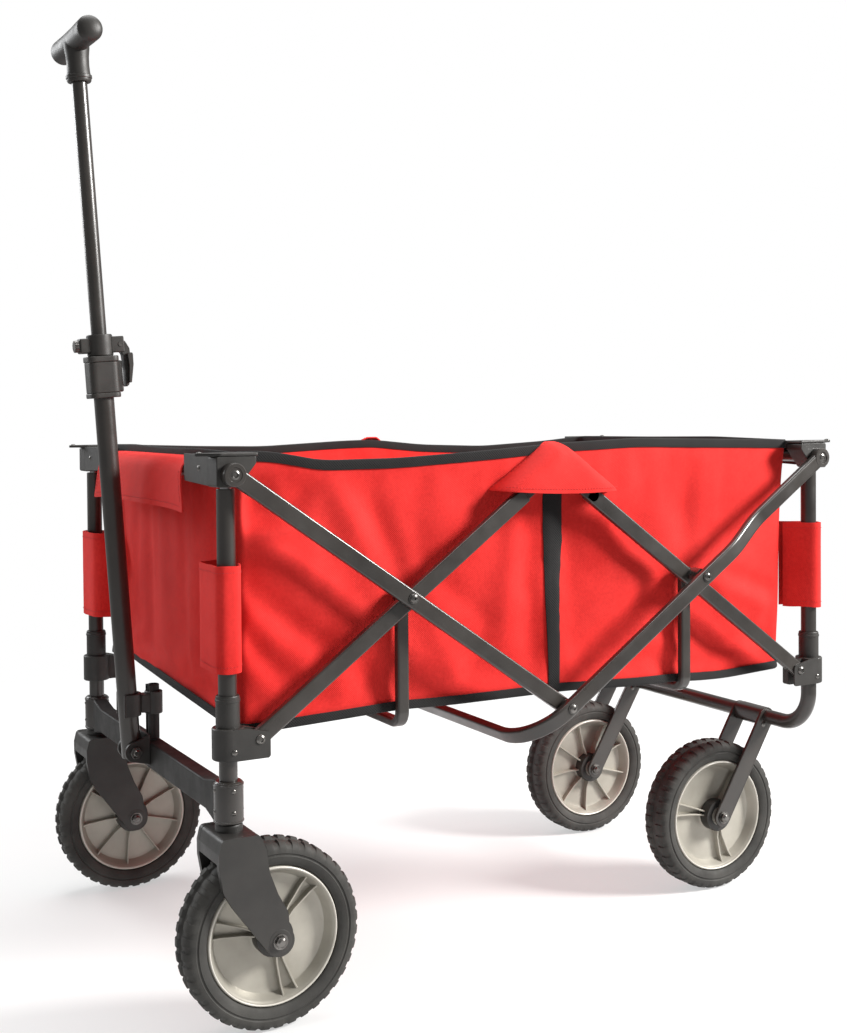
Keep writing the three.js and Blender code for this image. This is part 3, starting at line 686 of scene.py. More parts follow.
def top_pin_end(m_paint, m_bolt, p, s, planes):
    o0, o1 = planes
    boss = [(4.2, o0 - 0.6), (12.2, o0 - 0.6), (12.6, o0), (12.6, o1 - 0.3), (11.6, o1 + 0.6),
            (8.0, o1 + 0.6), (7.2, o1 - 0.6), (4.2, o1 - 0.6)]
    m_paint.lathe("y", (p[0], 0, p[1]), [(r, off(s, o)) for r, o in boss], 44)
    pin(m_bolt, p, 9, o1, s)
    dome(m_bolt, "y", (p[0], off(s, o1 - 0.8), p[1]), 5.8, 2.0, s, 3.2, 28)


def front_long_arm(side, s):
    high, keel = TOP_PIVOT, (MID, KEEL_Z)
    m, b = Maker(), Maker()
    m.plate(capsule(high, keel, ARM_R), side_lay, off(s, LONG_PLANE[0]), off(s, LONG_PLANE[1]), 2.3, 3)
    top_pin_end(m, b, high, s, LONG_PLANE)
    pin(b, keel, LONG_PLANE[1] - 1, OUTER_PLANE[1] + 1, s)
    washer(b, keel, LONG_PLANE[1], OUTER_PLANE[0] - 0.3, s, 9)
    pin_head(b, keel, s, OUTER_PLANE[1])
    m.piece(f"front_long_bar_{side}", PAINT, "front_long_arms", f"front_long_arm_{side}")
    b.piece(f"front_long_pins_{side}", BOLT, "front_long_arms")


def rear_long_arms():
    xa, za = BASE - TOP_PIVOT[0], TOP_PIVOT[1]
    run = Vector((xa - MID, 0, za - KEEL_Z))
    length = run.length
    run.normalize()
    y0, y1 = (HALF + (plane[0] + plane[1]) / 2 for plane in (LONG_PLANE, OUTER_PLANE))
    j0, j1 = length - 209, length - 127
    joggle = [(y0, length)] + [(y0 + (y1 - y0) * step(0, 1, t), j1 + (j0 - j1) * t)
                               for t in [i / 12 for i in range(13)]]
    bend = u_path(y1, 60, -66, 62, lambda v, h: (v, h), 16)
    line = joggle + bend + [(-v, h) for v, h in joggle[::-1]]
    path = [Vector((MID, 0, KEEL_Z)) + run * t + Vector((0, v, 0)) for v, t in line]
    m, b = Maker(), Maker()
    m.grid(sweep_rows(oval(2 * ARM_R, 10, 3.4), path, Vector((0, 1, 0)).cross(run)), cap=True)
    for _, s in SIDES:
        top_pin_end(m, b, (xa, za), s, LONG_PLANE)
    m.piece("rear_long_bar", PAINT, "rear_long_arms", "rear_long_arm_frame")
    b.piece("rear_long_pins", BOLT, "rear_long_arms")


def floor_support(end, x0, d):
    x = at(x0, d, CROSS[0])
    y = HALF + (LEG_PLANE[0] + LEG_PLANE[1]) / 2
    path = u_path(y, CROSS[1], 307, 15, lambda v, h: (x, v, h), 12)
    m = Maker()
    m.grid(sweep_rows(oval(15, 10, 3.2), path, (1, 0, 0)), cap=True)
    for _, s in SIDES:
        m.lathe("y", (x, off(s, -3), CROSS[1]), sleeve(4.4, 9.5, -4.4, 4.4, 0.5, 0.6), 36)
    m.piece(f"{end}_floor_bar", PAINT, f"{end}_floor_support", f"{end}_floor_support")


# ------------------------------------------------------------------ upper frames
def top_bracket(end, x0, d, side, s):
    body = f"{end}_uppers"
    reach = 38 if d > 0 else 43
    m = Maker()
    block = rounded([(-16, 585), (9, 585), (29, 610), (29, 618), (-16, 618)], [3, 4, 4, 3, 3], 4)
    m.plate([(at(x0, d, u), z) for u, z in block], side_lay, off(s, -10.9), off(s, 16.7), 1.6, 3)
    face = rounded([(-9, 586), (-86, 589), (-86, 619), (-9, 619)], [1, 4, 2, 1], 4)
    cap = rounded([(-reach, 0), (-12, -13.4), (31, -13.4), (31, 18), (-12, 18)], [5, 6, 3, 3, 6], 5)
    roof = rounded([(-15.5, -10), (12, -10), (12, -82), (-15.5, -84)], [1, 1, 4, 2], 4)
    m.plate([(at(x0, d, u), off(s, o)) for u, o in cap], top_lay, 618, 621.3, 0.9, 2)
    m.plate([(off(s, o), z) for o, z in face], end_lay, at(x0, d, -16), at(x0, d, -12.8), 0.8, 2)
    m.plate([(at(x0, d, u), off(s, o)) for u, o in roof], top_lay, 615.4, 618.6, 0.8, 2)
    m.piece(f"{end}_corner_bracket_{side}", PLASTIC, body, f"{end}_top_bracket_{side}")
    dome(m, "z", (at(x0, d, 9 - reach), off(s, 0), 621.1), 3.4, 1.7, 1)
    dome(m, "x", (at(x0, d, -16), off(s, -38), 604), 3.4, 1.5, -d)
    m.piece(f"{end}_corner_rivets_{side}", BOLT, body)
    m.lathe("z", (x0, off(s, 0), 0), [(0, 362), (5.2, 362), (6, 363), (6, 611), (0, 611)], 32)
    m.piece(f"{end}_rod_{side}", STEEL, body, f"{end}_slide_rod_{side}")


def top_rail(end, x0):
    reach = HALF - 7 - GAP
    m = Maker()
    m.lathe("y", (x0, 0, 600), sleeve(6.8, 8, -reach, reach, 0.4, 0.6), 36)
    m.piece(f"{end}_rail_tube", PAINT, f"{end}_uppers", f"{end}_top_rail")


# ------------------------------------------------------------------ handle
def lean(m):
    """Bodies modelled upright at the origin go onto the leaning handle line."""
    m.move(Matrix.Translation((HANDLE[0], 0, HANDLE[1])) @ Matrix.Rotation(-LEAN, 4, "Y"))


def handle_base():
    hx, hz = HANDLE
    m = Maker()
    for k in (-1, 1):
        m.plate(arc(hx, hz, 12.5, range(90, 271, 9)) + [(-10.4, 237), (-10.4, 273)], side_lay,
                k * 15.05 - 2.4, k * 15.05 + 2.4, 1.0, 2)
    back = rounded([(-17.5, 236), (17.5, 236), (17.5, 274), (-17.5, 274)], 3)
    m.plate(back, end_lay, -13.5, -10.3, 0.8, 2)
    m.piece("hinge_bracket", PLASTIC, "front_frame", "handle_hinge_bracket")
    m.lathe("y", (hx, 0, hz), [(0, -23.5), (2.8, -23.5), (4, -22), (4, 22), (0, 22)], 24)
    nut(m, hx, -22, -17.9, hz, 7.5)
    nut(m, hx, 17.9, 22, hz, 7.5)
    m.piece("hinge_bolt", BOLT, "front_frame", "handle_hinge_pin")
    x = hx - 57 * sin(LEAN)
    turn = range(-112, 113, 14)
    outer = [(x - 9, -17.6)] + arc(x, 0, 16.4, turn) + [(x - 9, 17.6)]
    inner = [(x - 9.4, -14.2)] + arc(x, 0, 13.3, turn) + [(x - 9.4, 14.2)]
    m.plate(outer + inner[::-1], top_lay, 296.4, 323.6, 0.7, 2)
    m.box((x + 14.5, -6.6), (-8.6, 8.6), (299, 321), 1.2)
    m.lathe("z", (0, 0, 0), sleeve(7.5, 11, 296.2, 323.8, 0.8, 0.8), 40)
    m.piece("clip", PLASTIC, "front_frame", "handle_clip")


def handle_lower():
    m = Maker()
    m.lathe("z", (0, 0, 0), [(10.2, -8.6), (11.4, -8.6), (12, -7.6), (12, 435), (11.6, 436), (10.2, 436)], 56)
    lean(m)
    m.piece("lower_tube", PAINT, "handle_lower", "handle_lower_tube")
    block = rounded([(-18.2, -16), (18.2, -16), (18.2, 16), (-18.2, 16)], 9, 6)
    for z0, z1, k in ((430, 436, 1.03), (436, 473, 1.0), (473, 480, 1.05)):
        m.plate([(u * k, v * k) for u, v in block], top_lay, z0, z1, 1.2, 3)
    m.box((10, 24), (-7, 7), (436, 474), 2.2, 3)
    m.lathe("z", (0, 0, 0), [(9.6, 480), (14.4, 480), (15.4, 481.4), (15.4, 504.4), (14.4, 506), (9.6, 506)])
    m.box((-26, -11), (-8, 8), (484, 502), 2.0, 3)
    for k in (-1, 1):
        m.box((11, 27), (k * 8.65 - 2.3, k * 8.65 + 2.3), (484, 503), 1.2, 2)
    lean(m)
    m.piece("clamp_block", PLASTIC, "handle_lower", "handle_clamp_collar")
    knob = []
    for i in range(24):
        t, r = 2 * pi * i / 24, 7.6 if i % 2 else 6.7
        knob.append((r * cos(t), 493 + r * sin(t)))
    m.plate(knob, end_lay, -31.5, -26, 0.5, 1)
    m.lathe("y", (22.5, 0, 493.5), [(0, -11.6), (3, -11.6), (3, 11.6), (0, 11.6)], 20)
    lean(m)
    m.piece("clamp_screw", BOLT, "handle_lower")


def handle_lever():
    m = Maker()
    blade = [(17.6, 490), (17.6, 497), (24, 499.7), (29.5, 497), (34.5, 488), (35.6, 468), (31, 444),
             (27.2, 441), (27.6, 462), (26, 482)]
    m.plate(rounded(blade, [3, 4, 4, 3, 6, 8, 2, 1.5, 8, 5]), side_lay, -6.0, 6.0, 1.4, 3)
    wing = rounded([(29.6, 482), (36.4, 483), (36.2, 468), (32.4, 446), (29.4, 447), (31, 468)], 2.5)
    m.plate(wing, side_lay, -12.6, 12.6, 2.2, 3)
    lean(m)
    m.piece("lever", PLASTIC, "clamp_lever", "handle_clamp_lever")


def handle_upper():
    m = Maker()
    m.lathe("z", (0, 0, 0), [(7.8, 290), (8.8, 290), (9.2, 291), (9.2, 812), (7.8, 812)])
    lean(m)
    m.piece("upper_tube", PAINT, "handle_upper", "handle_upper_tube")
    half = 68.0
    end = [(15.2 * sin(t), -half + 9 * (1 - cos(t))) for t in [i / 8 * pi / 2 for i in range(9)]]
    swell = [(14.9, -40), (14.4, -20), (14.4, 20), (14.9, 40)]
    m.lathe("y", (0, 0, 855), end + swell + [(r, -h) for r, h in end[::-1]], 56)
    m.lathe("z", (0, 0, 0), [(9.6, 806), (13.4, 806), (14.4, 807.6), (14.6, 812), (13.6, 818), (13.2, 826),
                             (13.6, 836), (15, 846), (15, 852), (9.6, 852)])
    collar(m, (0, 0, 812), 14, (2.6, 1.6), 1.4, 48)
    lean(m)
    m.piece("t_grip", PLASTIC, "handle_upper", "handle_grip")


def hardware():
    for side, s in SIDES:
        front_post(side, s)
        caster_socket(side, s)
        for hold, end, axle_name, body, x, y, reach in (
                (fork, "front", "caster", f"caster_{side}", TRAIL, off(s, 0), 34.3),
                (rear_wheel_bracket, "rear", "rear", "rear_frame", REAR_WHEEL_X, s * REAR_WHEEL_Y, 29.3)):
            hold(side, s)
            wheel = f"{end}_wheel_{side}"
            axle(f"{axle_name}_bolt_{side}", body, x, y, reach, f"{axle_name}_axle_{side}")
            tyre(f"{end}_tread_{side}", wheel, x, y, f"{end}_tyre_{side}")
            rim(f"{end}_wheel_disc_{side}", wheel, x, y, f"{end}_rim_{side}", s)
        front_long_arm(side, s)
        for end, x0, d in ENDS:
            lower_bracket(end, x0, d, side, s)
            inner_arm(end, x0, d, side, s)
            top_bracket(end, x0, d, side, s)
    for end, x0, d in ENDS:
        floor_support(end, x0, d)
        top_rail(end, x0)
    for build in (crossbar, rear_frame, rear_long_arms, handle_base, handle_lower, handle_lever,
                  handle_upper):
        build()


hardware()


# ------------------------------------------------------------------ the fabric tub
PITCH = 11.0
SKIN = 1.5
CORNER = 15.0
# height of the rim and of the bottom edge along each wall, as [place, z]
RIM_NEAR = [(18, 620), (41, 622), (78, 617), (117, 609), (215, 609.5), (294, 613.6), (350, 617), (436, 623),
            (558, 627.5), (655, 625), (793, 622), (818, 621)]
RIM_FAR = [(18, 621), (152, 616), (245, 614), (375, 620), (426, 621), (513, 612), (623, 608), (740, 614),
           (818, 621)]
RIM_FRONT = [(-241, 620), (-120, 622), (0, 621), (120, 623), (241, 621)]
RIM_REAR = [(-241, 621), (-90, 624), (60, 622), (241, 621)]
FOOT_NEAR = [(18, 318), (52, 318), (136, 321), (212, 324), (285, 322), (376, 322), (449, 322), (556, 317),
             (620, 316.5), (654, 314), (700, 313), (801, 318)]
FOOT_FAR = [(18, 333), (90, 322), (216, 318), (400, 320), (620, 316), (801, 318)]
FOOT_FRONT = [(-241, 318), (-192, 322), (-39, 331), (101, 340), (167, 345), (225, 338), (241, 333)]
FOOT_REAR = [(-241, 318), (0, 319), (241, 318)]
EDGES = {"near": (RIM_NEAR, FOOT_NEAR), "far": (RIM_FAR, FOOT_FAR), "front": (RIM_FRONT, FOOT_FRONT),
         "rear": (RIM_REAR, FOOT_REAR)}
REAR_WALL = [(0, 797), (0.3, 804), (0.62, 806), (0.86, 810), (1, 816)]
BED = 315.5
STRAP_X = 429.0
# folds of the near wall: from (x, z) to (x, z), half width, height; the far wall has them mirrored and weaker
FOLDS = [
    (100, 448, 122, 436, 62, 5.5), (36, 576, 36, 550, 24, -13.0), (30, 547, 82, 554, 8, -9.0),
    (36, 530, 86, 539, 9, 7.5), (22, 530, 22, 480, 11, -6.0), (50, 512, 174, 425, 22, 5.0),
    (26, 472, 138, 392, 14, -5.5), (26, 452, 107, 372, 14, 4.0), (22, 430, 56, 384, 10, -4.5),
    (36, 384, 54, 356, 13, 4.0), (112, 592, 84, 560, 12, -6.5), (54, 592, 100, 598, 7, -4.5),
    (128, 592, 190, 486, 15, 5.0), (160, 585, 215, 500, 14, -3.5), (142, 392, 137, 325, 13, 4.0),
    (168, 388, 173, 345, 11, -3.5), (240, 570, 352, 476, 34, 5.0), (236, 505, 330, 420, 14, -3.5),
    (262, 410, 300, 345, 16, 4.0), (330, 400, 300, 335, 13, -3.0), (398, 545, 392, 460, 15, -6.5),
    (394, 460, 404, 345, 14, -6.0), (372, 545, 360, 380, 18, 4.0), (446, 560, 450, 420, 14, -3.0),
    (600, 445, 472, 352, 14, -6.0), (585, 480, 480, 400, 22, 5.0), (470, 520, 560, 585, 26, 4.0),
    (700, 452, 795, 418, 10, -4.5), (690, 436, 785, 398, 11, 3.5), (657, 378, 680, 345, 9, -3.5),
    (722, 384, 766, 348, 11, -4.0), (700, 402, 735, 366, 12, 3.0), (752, 528, 674, 462, 15, -5.0),
    (776, 560, 700, 520, 16, 4.0), (640, 566, 632, 498, 16, -4.0), (560, 560, 610, 500, 22, 3.5),
    (800, 470, 770, 350, 9, -3.0)]
FRONT_FOLDS = [
    (-196, 610, -186, 400, 16, 4.0), (-166, 590, -150, 350, 12, -4.5), (-110, 560, -100, 360, 20, 3.5),
    (-60, 560, -66, 380, 13, -3.0), (10, 560, 0, 370, 22, 3.0), (70, 600, 60, 380, 13, -3.5),
    (130, 590, 150, 390, 16, 3.5), (190, 600, 176, 420, 12, -4.0), (-205, 510, -120, 440, 12, -3.0),
    (210, 500, 130, 440, 12, -3.0), (-200, 380, -90, 350, 10, 2.5)]


def along(points, x):
    """Height at x on a polyline whose corners are softened."""
    xs, zs = zip(*points)
    return float(np.mean([np.interp(x + k, xs, zs) for k in (-16, -8, 0, 8, 16)]))


def fold_height(folds, x, z):
    total = 0.0
    for x0, z0, x1, z1, width, amp in folds:
        dx, dz = x1 - x0, z1 - z0
        run = dx * dx + dz * dz
        t = ((x - x0) * dx + (z - z0) * dz) / run
        length = sqrt(run)
        beyond = max(0.0, -t, t - 1) * length
        side = abs((x - x0) * dz - (z - z0) * dx) / length
        taper = 0.55 + 0.45 * sin(pi * min(max(t, 0), 1))
        total += amp * taper * exp(-(side / width) ** 2 - (beyond / (width * 1.3)) ** 2)
    return total


def rough(x, z, seed):
    """Small uneven waves of slack cloth."""
    p = Vector((x / 95, z / 70, seed))
    q = Vector((x / 34, z / 26, seed + 7.3))
    return 2.4 * noise.noise(p) + 0.9 * noise.noise(q)


def slack(wall, x, z, zb, zt):
    """How far the cloth stands out of its wall plane at a point."""
    hold = step(zb + 8, zb + 42, z) * (1 - step(zt - 46, zt - 17, z))
    if wall in ("near", "far"):
        near = wall == "near"
        fx = x if near else BASE - x + 12
        d = 1.5 * fold_height(FOLDS, fx, z) * (1 if near else 0.8) + rough(x, z, 1.7 if near else 5.1)
        ends = step(TUB_X0 + 1, TUB_X0 + 15, x) * (1 - step(770, 792, x))
        strap = 1 - 0.8 * exp(-((x - STRAP_X) / 16) ** 2)
        d *= hold * ends * strap
        leg = max(exp(-((x - c) / 17) ** 2) for c in (CROSS[0], BASE - CROSS[0])) * (1 - step(460, 478, z))
        room = 11.0 * (1 - leg) + 2.2 * leg
    else:
        front = wall == "front"
        d = fold_height(FRONT_FOLDS, x if front else -x, z) + rough(x, z, 9.2 if front else 12.6) * 1.3
        d *= hold * step(-238, -214, x) * (1 - step(214, 238, x))
        room = 9.0 if front else 7.0
    return room * tanh(d / room) if d > 0 else 15 * tanh(d / 15)


def wall_columns():
    """The walls' columns in order round the tub: wall name and place along it, or corner and its angle."""
    n_long, n_wide = round((BASE - 68) / PITCH), round((2 * TUB_Y - 2 * CORNER) / PITCH)
    columns = []
    for wall, n, angle in (("near", n_long, -90), ("rear", n_wide, 0), ("far", n_long, 90),
                           ("front", n_wide, 180)):
        places = [i / n for i in range(n + 1)]
        columns += [(wall, t if wall in ("near", "rear") else 1 - t) for t in places]
        columns += [("corner", angle + 22.5 * k) for k in (1, 2, 3)]
    return columns, n_long, n_wide


def wall_point(column, w, still=False):
    """Point of the cloth's outer face and its outward direction; w runs from the bottom edge to the rim."""
    wall, t = column
    x0, x1 = TUB_X0 - 0.7, along_w(w)
    y0 = TUB_Y - 1.2 - 1.6 * sin(pi * w)
    c = CORNER
    if wall == "corner":
        a = radians(t)
        front, near = cos(a) < 0, sin(a) < 0
        cx, cy = (x0 + c if front else x1 - c), (c - y0 if near else y0 - c)
        k = abs(cos(a))
        sides, ends = EDGES["near" if near else "far"], EDGES["front" if front else "rear"]
        zt, zb = (along(p, cx) + (along(q, cy) - along(p, cx)) * k * k for p, q in zip(sides, ends))
        return Vector((cx + c * cos(a), cy + c * sin(a), zb + (zt - zb) * w)), Vector((cos(a), sin(a), 0))
    d = -1 if wall in ("near", "front") else 1
    long_wall = wall in ("near", "far")
    place = x0 + c + (x1 - x0 - 2 * c) * t if long_wall else -(y0 - c) + 2 * (y0 - c) * t
    zt, zb = (along(edge, place) for edge in EDGES[wall])
    z = zb + (zt - zb) * w
    out = 0 if still else slack(wall, place, z, zb, zt)
    if long_wall:
        return Vector((place, d * (y0 + out), z)), Vector((0, d, 0))
    return Vector(((x0 if d < 0 else x1) + d * out, place, z)), Vector((d, 0, 0))


def along_w(w):
    ws, xs = zip(*REAR_WALL)
    return float(np.mean([np.interp(w + k, ws, xs) for k in (-0.05, 0, 0.05)]))


def tub_mesh():
    """One sheet: four walls and the floor. Also returns the points that are held."""
    columns, n_long, n_wide = wall_columns()
    rows = round((TUB_Z1 - TUB_Z0) / PITCH)
    verts, faces, held = [], [], []
    n = len(columns)
    for r in range(rows + 1):
        for column in columns:
            p, _ = wall_point(column, r / rows)
            wall, place = column
            sewn = wall == "corner" or place in (0, 1) or wall in ("near", "far") and abs(p.x - STRAP_X) < 13
            if sewn or r in (0, rows - 1, rows):
                held.append(len(verts))
            verts.append(p)
    for r in range(rows):
        for c in range(n):
            a, b = r * n + c, r * n + (c + 1) % n
            faces.append((a, b, b + n, a + n))
    # the first column of each wall, then the floor's own points
    rear0 = n_long + 4
    far0 = rear0 + n_wide + 4
    front0 = far0 + n_long + 4
    grid = {}
    for i in range(n_long + 1):
        for j in range(n_wide + 1):
            low, high = verts[i], verts[far0 + n_long - i]
            back, fore = verts[rear0 + j], verts[front0 + n_wide - j]
            x, y = low.x, back.y
            reaches = (y - low.y, high.y - y, back.x - x, x - fore.x)
            z = BED
            for edge, reach in zip((low, high, back, fore), reaches):
                z += (edge.z - BED) * exp(-reach / 38)
            z += 0.8 * noise.noise(Vector((x / 80, y / 80, 3.0))) * step(8, 60, min(reaches))
            grid[i, j] = len(verts)
            held.append(len(verts))
            verts.append(Vector((x, y, max(z, 313.6))))
    for i in range(n_long):
        for j in range(n_wide):
            faces.append((grid[i, j], grid[i, j + 1], grid[i + 1, j + 1], grid[i + 1, j]))
        faces.append((i, grid[i, 0], grid[i + 1, 0], i + 1))
        k = far0 + n_long - i
        faces.append((k, k - 1, grid[i + 1, n_wide], grid[i, n_wide]))
    for j in range(n_wide):
        faces.append((rear0 + j, grid[n_long, j], grid[n_long, j + 1], rear0 + j + 1))
        k = front0 + n_wide - j
        faces.append((k, k - 1, grid[0, j + 1], grid[0, j]))
    for start, corner in ((n_long, (n_long, 0)), (rear0 + n_wide, (n_long, n_wide)),
                          (far0 + n_long, (0, n_wide)), (front0 + n_wide, (0, 0))):
        round5 = [(start + k) % n for k in range(5)]
        faces += [(grid[corner], *round5[:3]), (grid[corner], *round5[2:])]
    mesh = bpy.data.meshes.new("tub")
    mesh.from_pydata([pt(*v) for v in verts], [], faces)
    bm = bmesh.new()
    bm.from_mesh(mesh)
    bmesh.ops.recalc_face_normals(bm, faces=bm.faces)
    if bm.faces[0].normal.dot(Vector((0, -1, 0))) < 0:
        bmesh.ops.reverse_faces(bm, faces=bm.faces)
    bm.to_mesh(mesh)
    bm.free()
    return mesh, held


def relax(mesh, held, frames, grow, cap):
    """Lets slack cloth find its own small folds between the points that are held."""
    before = np.array([v.co for v in mesh.vertices])
    ob = add("relaxing", mesh)
    group = ob.vertex_groups.new(name="held")
    group.add(held, 1.0, "REPLACE")
    cloth = ob.modifiers.new("cloth", "CLOTH")
    s = cloth.settings
    s.quality = 6
    s.mass = 0.25
    s.tension_stiffness = s.compression_stiffness = 22
    s.shear_stiffness = 9
    s.bending_stiffness = 0.6
    s.air_damping = 3
    s.vertex_group_mass = "held"
    s.shrink_min = -grow
    s.effector_weights.gravity = 0.35
    cloth.collision_settings.use_collision = False
    cloth.point_cache.frame_start, cloth.point_cache.frame_end = 1, frames
    SCENE.frame_start, SCENE.frame_end = 1, frames
    for f in range(1, frames + 1):
        SCENE.frame_set(f)
    graph = bpy.context.evaluated_depsgraph_get()
    shaped = ob.evaluated_get(graph).to_mesh()
    after = np.array([v.co for v in shaped.vertices])
    ob.evaluated_get(graph).to_mesh_clear()
    bpy.data.objects.remove(ob)
    SCENE.frame_set(1)
    move = after - before
    size = np.linalg.norm(move, axis=1, keepdims=True)
    limit = cap / 1000
    move *= np.where(size > 1e-9, limit * np.tanh(size / limit) / np.maximum(size, 1e-9), 0)
    mesh.vertices.foreach_set("co", (before + move).astype(np.float32).ravel())
    mesh.update()


def finish_mesh(mesh, levels, thick, offset=-1.0):
    """Subdivides a sheet, gives it its thickness, and returns the new mesh."""
    ob = add("finishing", mesh)
    if levels:
        sub = ob.modifiers.new("smooth", "SUBSURF")
        sub.levels = sub.render_levels = levels
    if thick:
        solid = ob.modifiers.new("cloth thickness", "SOLIDIFY")
        solid.thickness = thick / 1000
        solid.offset = offset
        solid.use_even_offset = False
    graph = bpy.context.evaluated_depsgraph_get()
    done = bpy.data.meshes.new_from_object(ob.evaluated_get(graph))
    bpy.data.objects.remove(ob)
    return done


def cloth_uv(mesh):
    """UVs in metres of cloth, laid on each face from the side it faces most."""
    layer = mesh.uv_layers.get("weave") or mesh.uv_layers.new(name="weave")
    for poly in mesh.polygons:
        n = poly.normal
        a = max(range(3), key=lambda k: abs(n[k]))
        u, v = ((1, 2), (0, 2), (0, 1))[a]
        for li in poly.loop_indices:
            co = mesh.vertices[mesh.loops[li].vertex_index].co
            layer.data[li].uv = (co[u], co[v])


def soft_piece(name, mesh, look, body="front_uppers", nodes=(), squashed=True, smooth=60):
    """A piece of cloth on its body; with squashed set, it gets its own copy of its mesh."""
    cloth_uv(mesh)
    ob = piece_of(name, mesh, look, body, nodes, smooth)
    if squashed:
        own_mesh(ob)
    return ob


def band(name, level, section):
    """A strip of binding that runs all round the tub at the rim (level 1) or at the bottom edge (level 0)."""
    m = Maker()
    rows = []
    for column in wall_columns()[0]:
        p, n = wall_point(column, level, still=True)
        wave = 0.5 * noise.noise(Vector((p.x / 30, p.y / 30, level * 9.0)))
        rows.append([p + n * (a + 0.25 * wave) + Vector((0, 0, b * (1 + 0.05 * wave) if abs(b) > 3 else b))
                     for a, b in section])
    m.grid(rows, close_rows=True)
    return soft_piece(name, m.mesh(name), BLACK)


def wall_y(tree, s, x, z):
    """The y of the side wall's outer face at x, z, in millimetres."""
    hit = tree.ray_cast(pt(x, s * 400, z), Vector((0, -s, 0)))[0]
    return hit.y * 1000 if hit else s * TUB_Y


def centre_strap(tree, side, s):
    """Black webbing sewn up the middle of a side wall, a little narrower at the foot."""
    m = Maker()
    rows = []
    for i in range(61):
        z = 322 + (618 - 322) * i / 60
        half = 8.0 + 6.0 * step(330, 560, z)
        x = STRAP_X + 1.2 * noise.noise(Vector((0, z / 60, s * 3.0)))
        line = [(x + half * k / 3, wall_y(tree, s, x + half * k / 3, z)) for k in range(-3, 4)]
        outer = [(a, b + s * (1.5 if 0 < k < 6 else 1.1), z) for k, (a, b) in enumerate(line)]
        inner = [(a, b + s * 0.15, z) for a, b in reversed(line)]
        rows.append(outer + inner)
    m.grid(rows, cap=True)
    return soft_piece(f"centre_strap_{side}", m.mesh("soft"), BLACK)


def sheet_mesh(rows, levels=1, thick=1.6, offset=0.0):
    """A sheet through a grid of points in millimetres, with its thickness."""
    mesh = bpy.data.meshes.new("sheet")
    n = len(rows[0])
    corners = [r * n + c for r in range(len(rows) - 1) for c in range(n - 1)]
    faces = [(k, k + 1, k + n + 1, k + n) for k in corners]
    mesh.from_pydata([pt(*p) for row in rows for p in row], [], faces)
    area = sum(p.area for p in mesh.polygons)
    return finish_mesh(mesh, levels, thick, offset), area


def stitches(name, lines, body="front_uppers", squashed=True, pitch=4.2, length=2.7):
    """Short raised threads along polylines; each line is a list of (point, outward direction)."""
    m = Maker()
    for line in lines:
        points = [Vector(p) for p, _ in line]
        normals = [Vector(n).normalized() for _, n in line]
        total, seg = 0.0, []
        for a, b in zip(points, points[1:]):
            seg.append((total, (b - a).length))
            total += (b - a).length
        s = pitch / 2
        while s < total - length / 2:
            k = max(i for i, (start, _) in enumerate(seg) if start <= s)
            t = (s - seg[k][0]) / max(seg[k][1], 1e-6)
            p = points[k].lerp(points[k + 1], t)
            n = normals[k].lerp(normals[k + 1], t).normalized()
            run = (points[k + 1] - points[k]).normalized()
            across = run.cross(n).normalized()
            rows = []
            for e, (h, w) in zip((-1, -0.6, 0.6, 1), ((0.0, 0.12), (0.42, 0.36), (0.42, 0.36), (0.0, 0.12))):
                c = p + run * (e * length / 2) + n * h
                rows.append([c + across * w, c + n * 0.3, c - across * w, c - n * 0.35])
            m.grid(rows, cap=True)
            s += pitch
    return soft_piece(name, m.mesh("soft"), THREAD, body=body, squashed=squashed, smooth=80)


def ridge_flap(tree, side, s):
    """Triangular pocket over the pivot where the inner arms meet: two sewn slopes, open below."""
    corner_x, corner_z = (338, 417, 434, 514), (570, 625.5, 625.5, 566)
    left, right = corner_x[0], corner_x[-1]
    rows = []
    for x in np.linspace(left, right, 45):
        top = float(np.interp(x, corner_x, corner_z))
        t_mid = (x - left) / (right - left)
        foot = 569.5 - 4 * t_mid - 3.0 * sin(pi * t_mid)
        start = abs(wall_y(tree, s, x, min(top, 606))) + 1.2 + 1.1 * step(598, 612, top)
        if top > 615:
            start -= 4.5 * step(615, 625, top)
        near_edge = min(x - left, right - x)
        row = []
        for j in range(23):
            t = j / 22
            z = top + (foot - top) * t ** 1.9
            out_y = start + (276.8 - start) * (1 - exp(-(top - z) / 5.6)) * (1 - exp(-near_edge / 4.0))
            ripple = 1.1 * noise.noise(Vector((x / 30, z / 26, 4.0 + s))) * sin(pi * t)
            row.append((x, s * (out_y + ripple), z))
        rows.append(row)
    mesh, area = sheet_mesh(rows)
    flap = soft_piece(f"ridge_flap_{side}", mesh, RED)
    hem = [((r[-1][0], r[-1][1] + s * 0.9, r[-1][2] + 5.0), (0, s, 0.1)) for r in rows[2:-2]]
    slopes = [[((r[2][0], r[2][1] + s * 0.5, r[2][2] + 0.8), (0, s, 0.8)) for r in part]
              for part in (rows[1:22], rows[24:-1])]
    thread = stitches(f"ridge_stitches_{side}", [hem] + slopes)


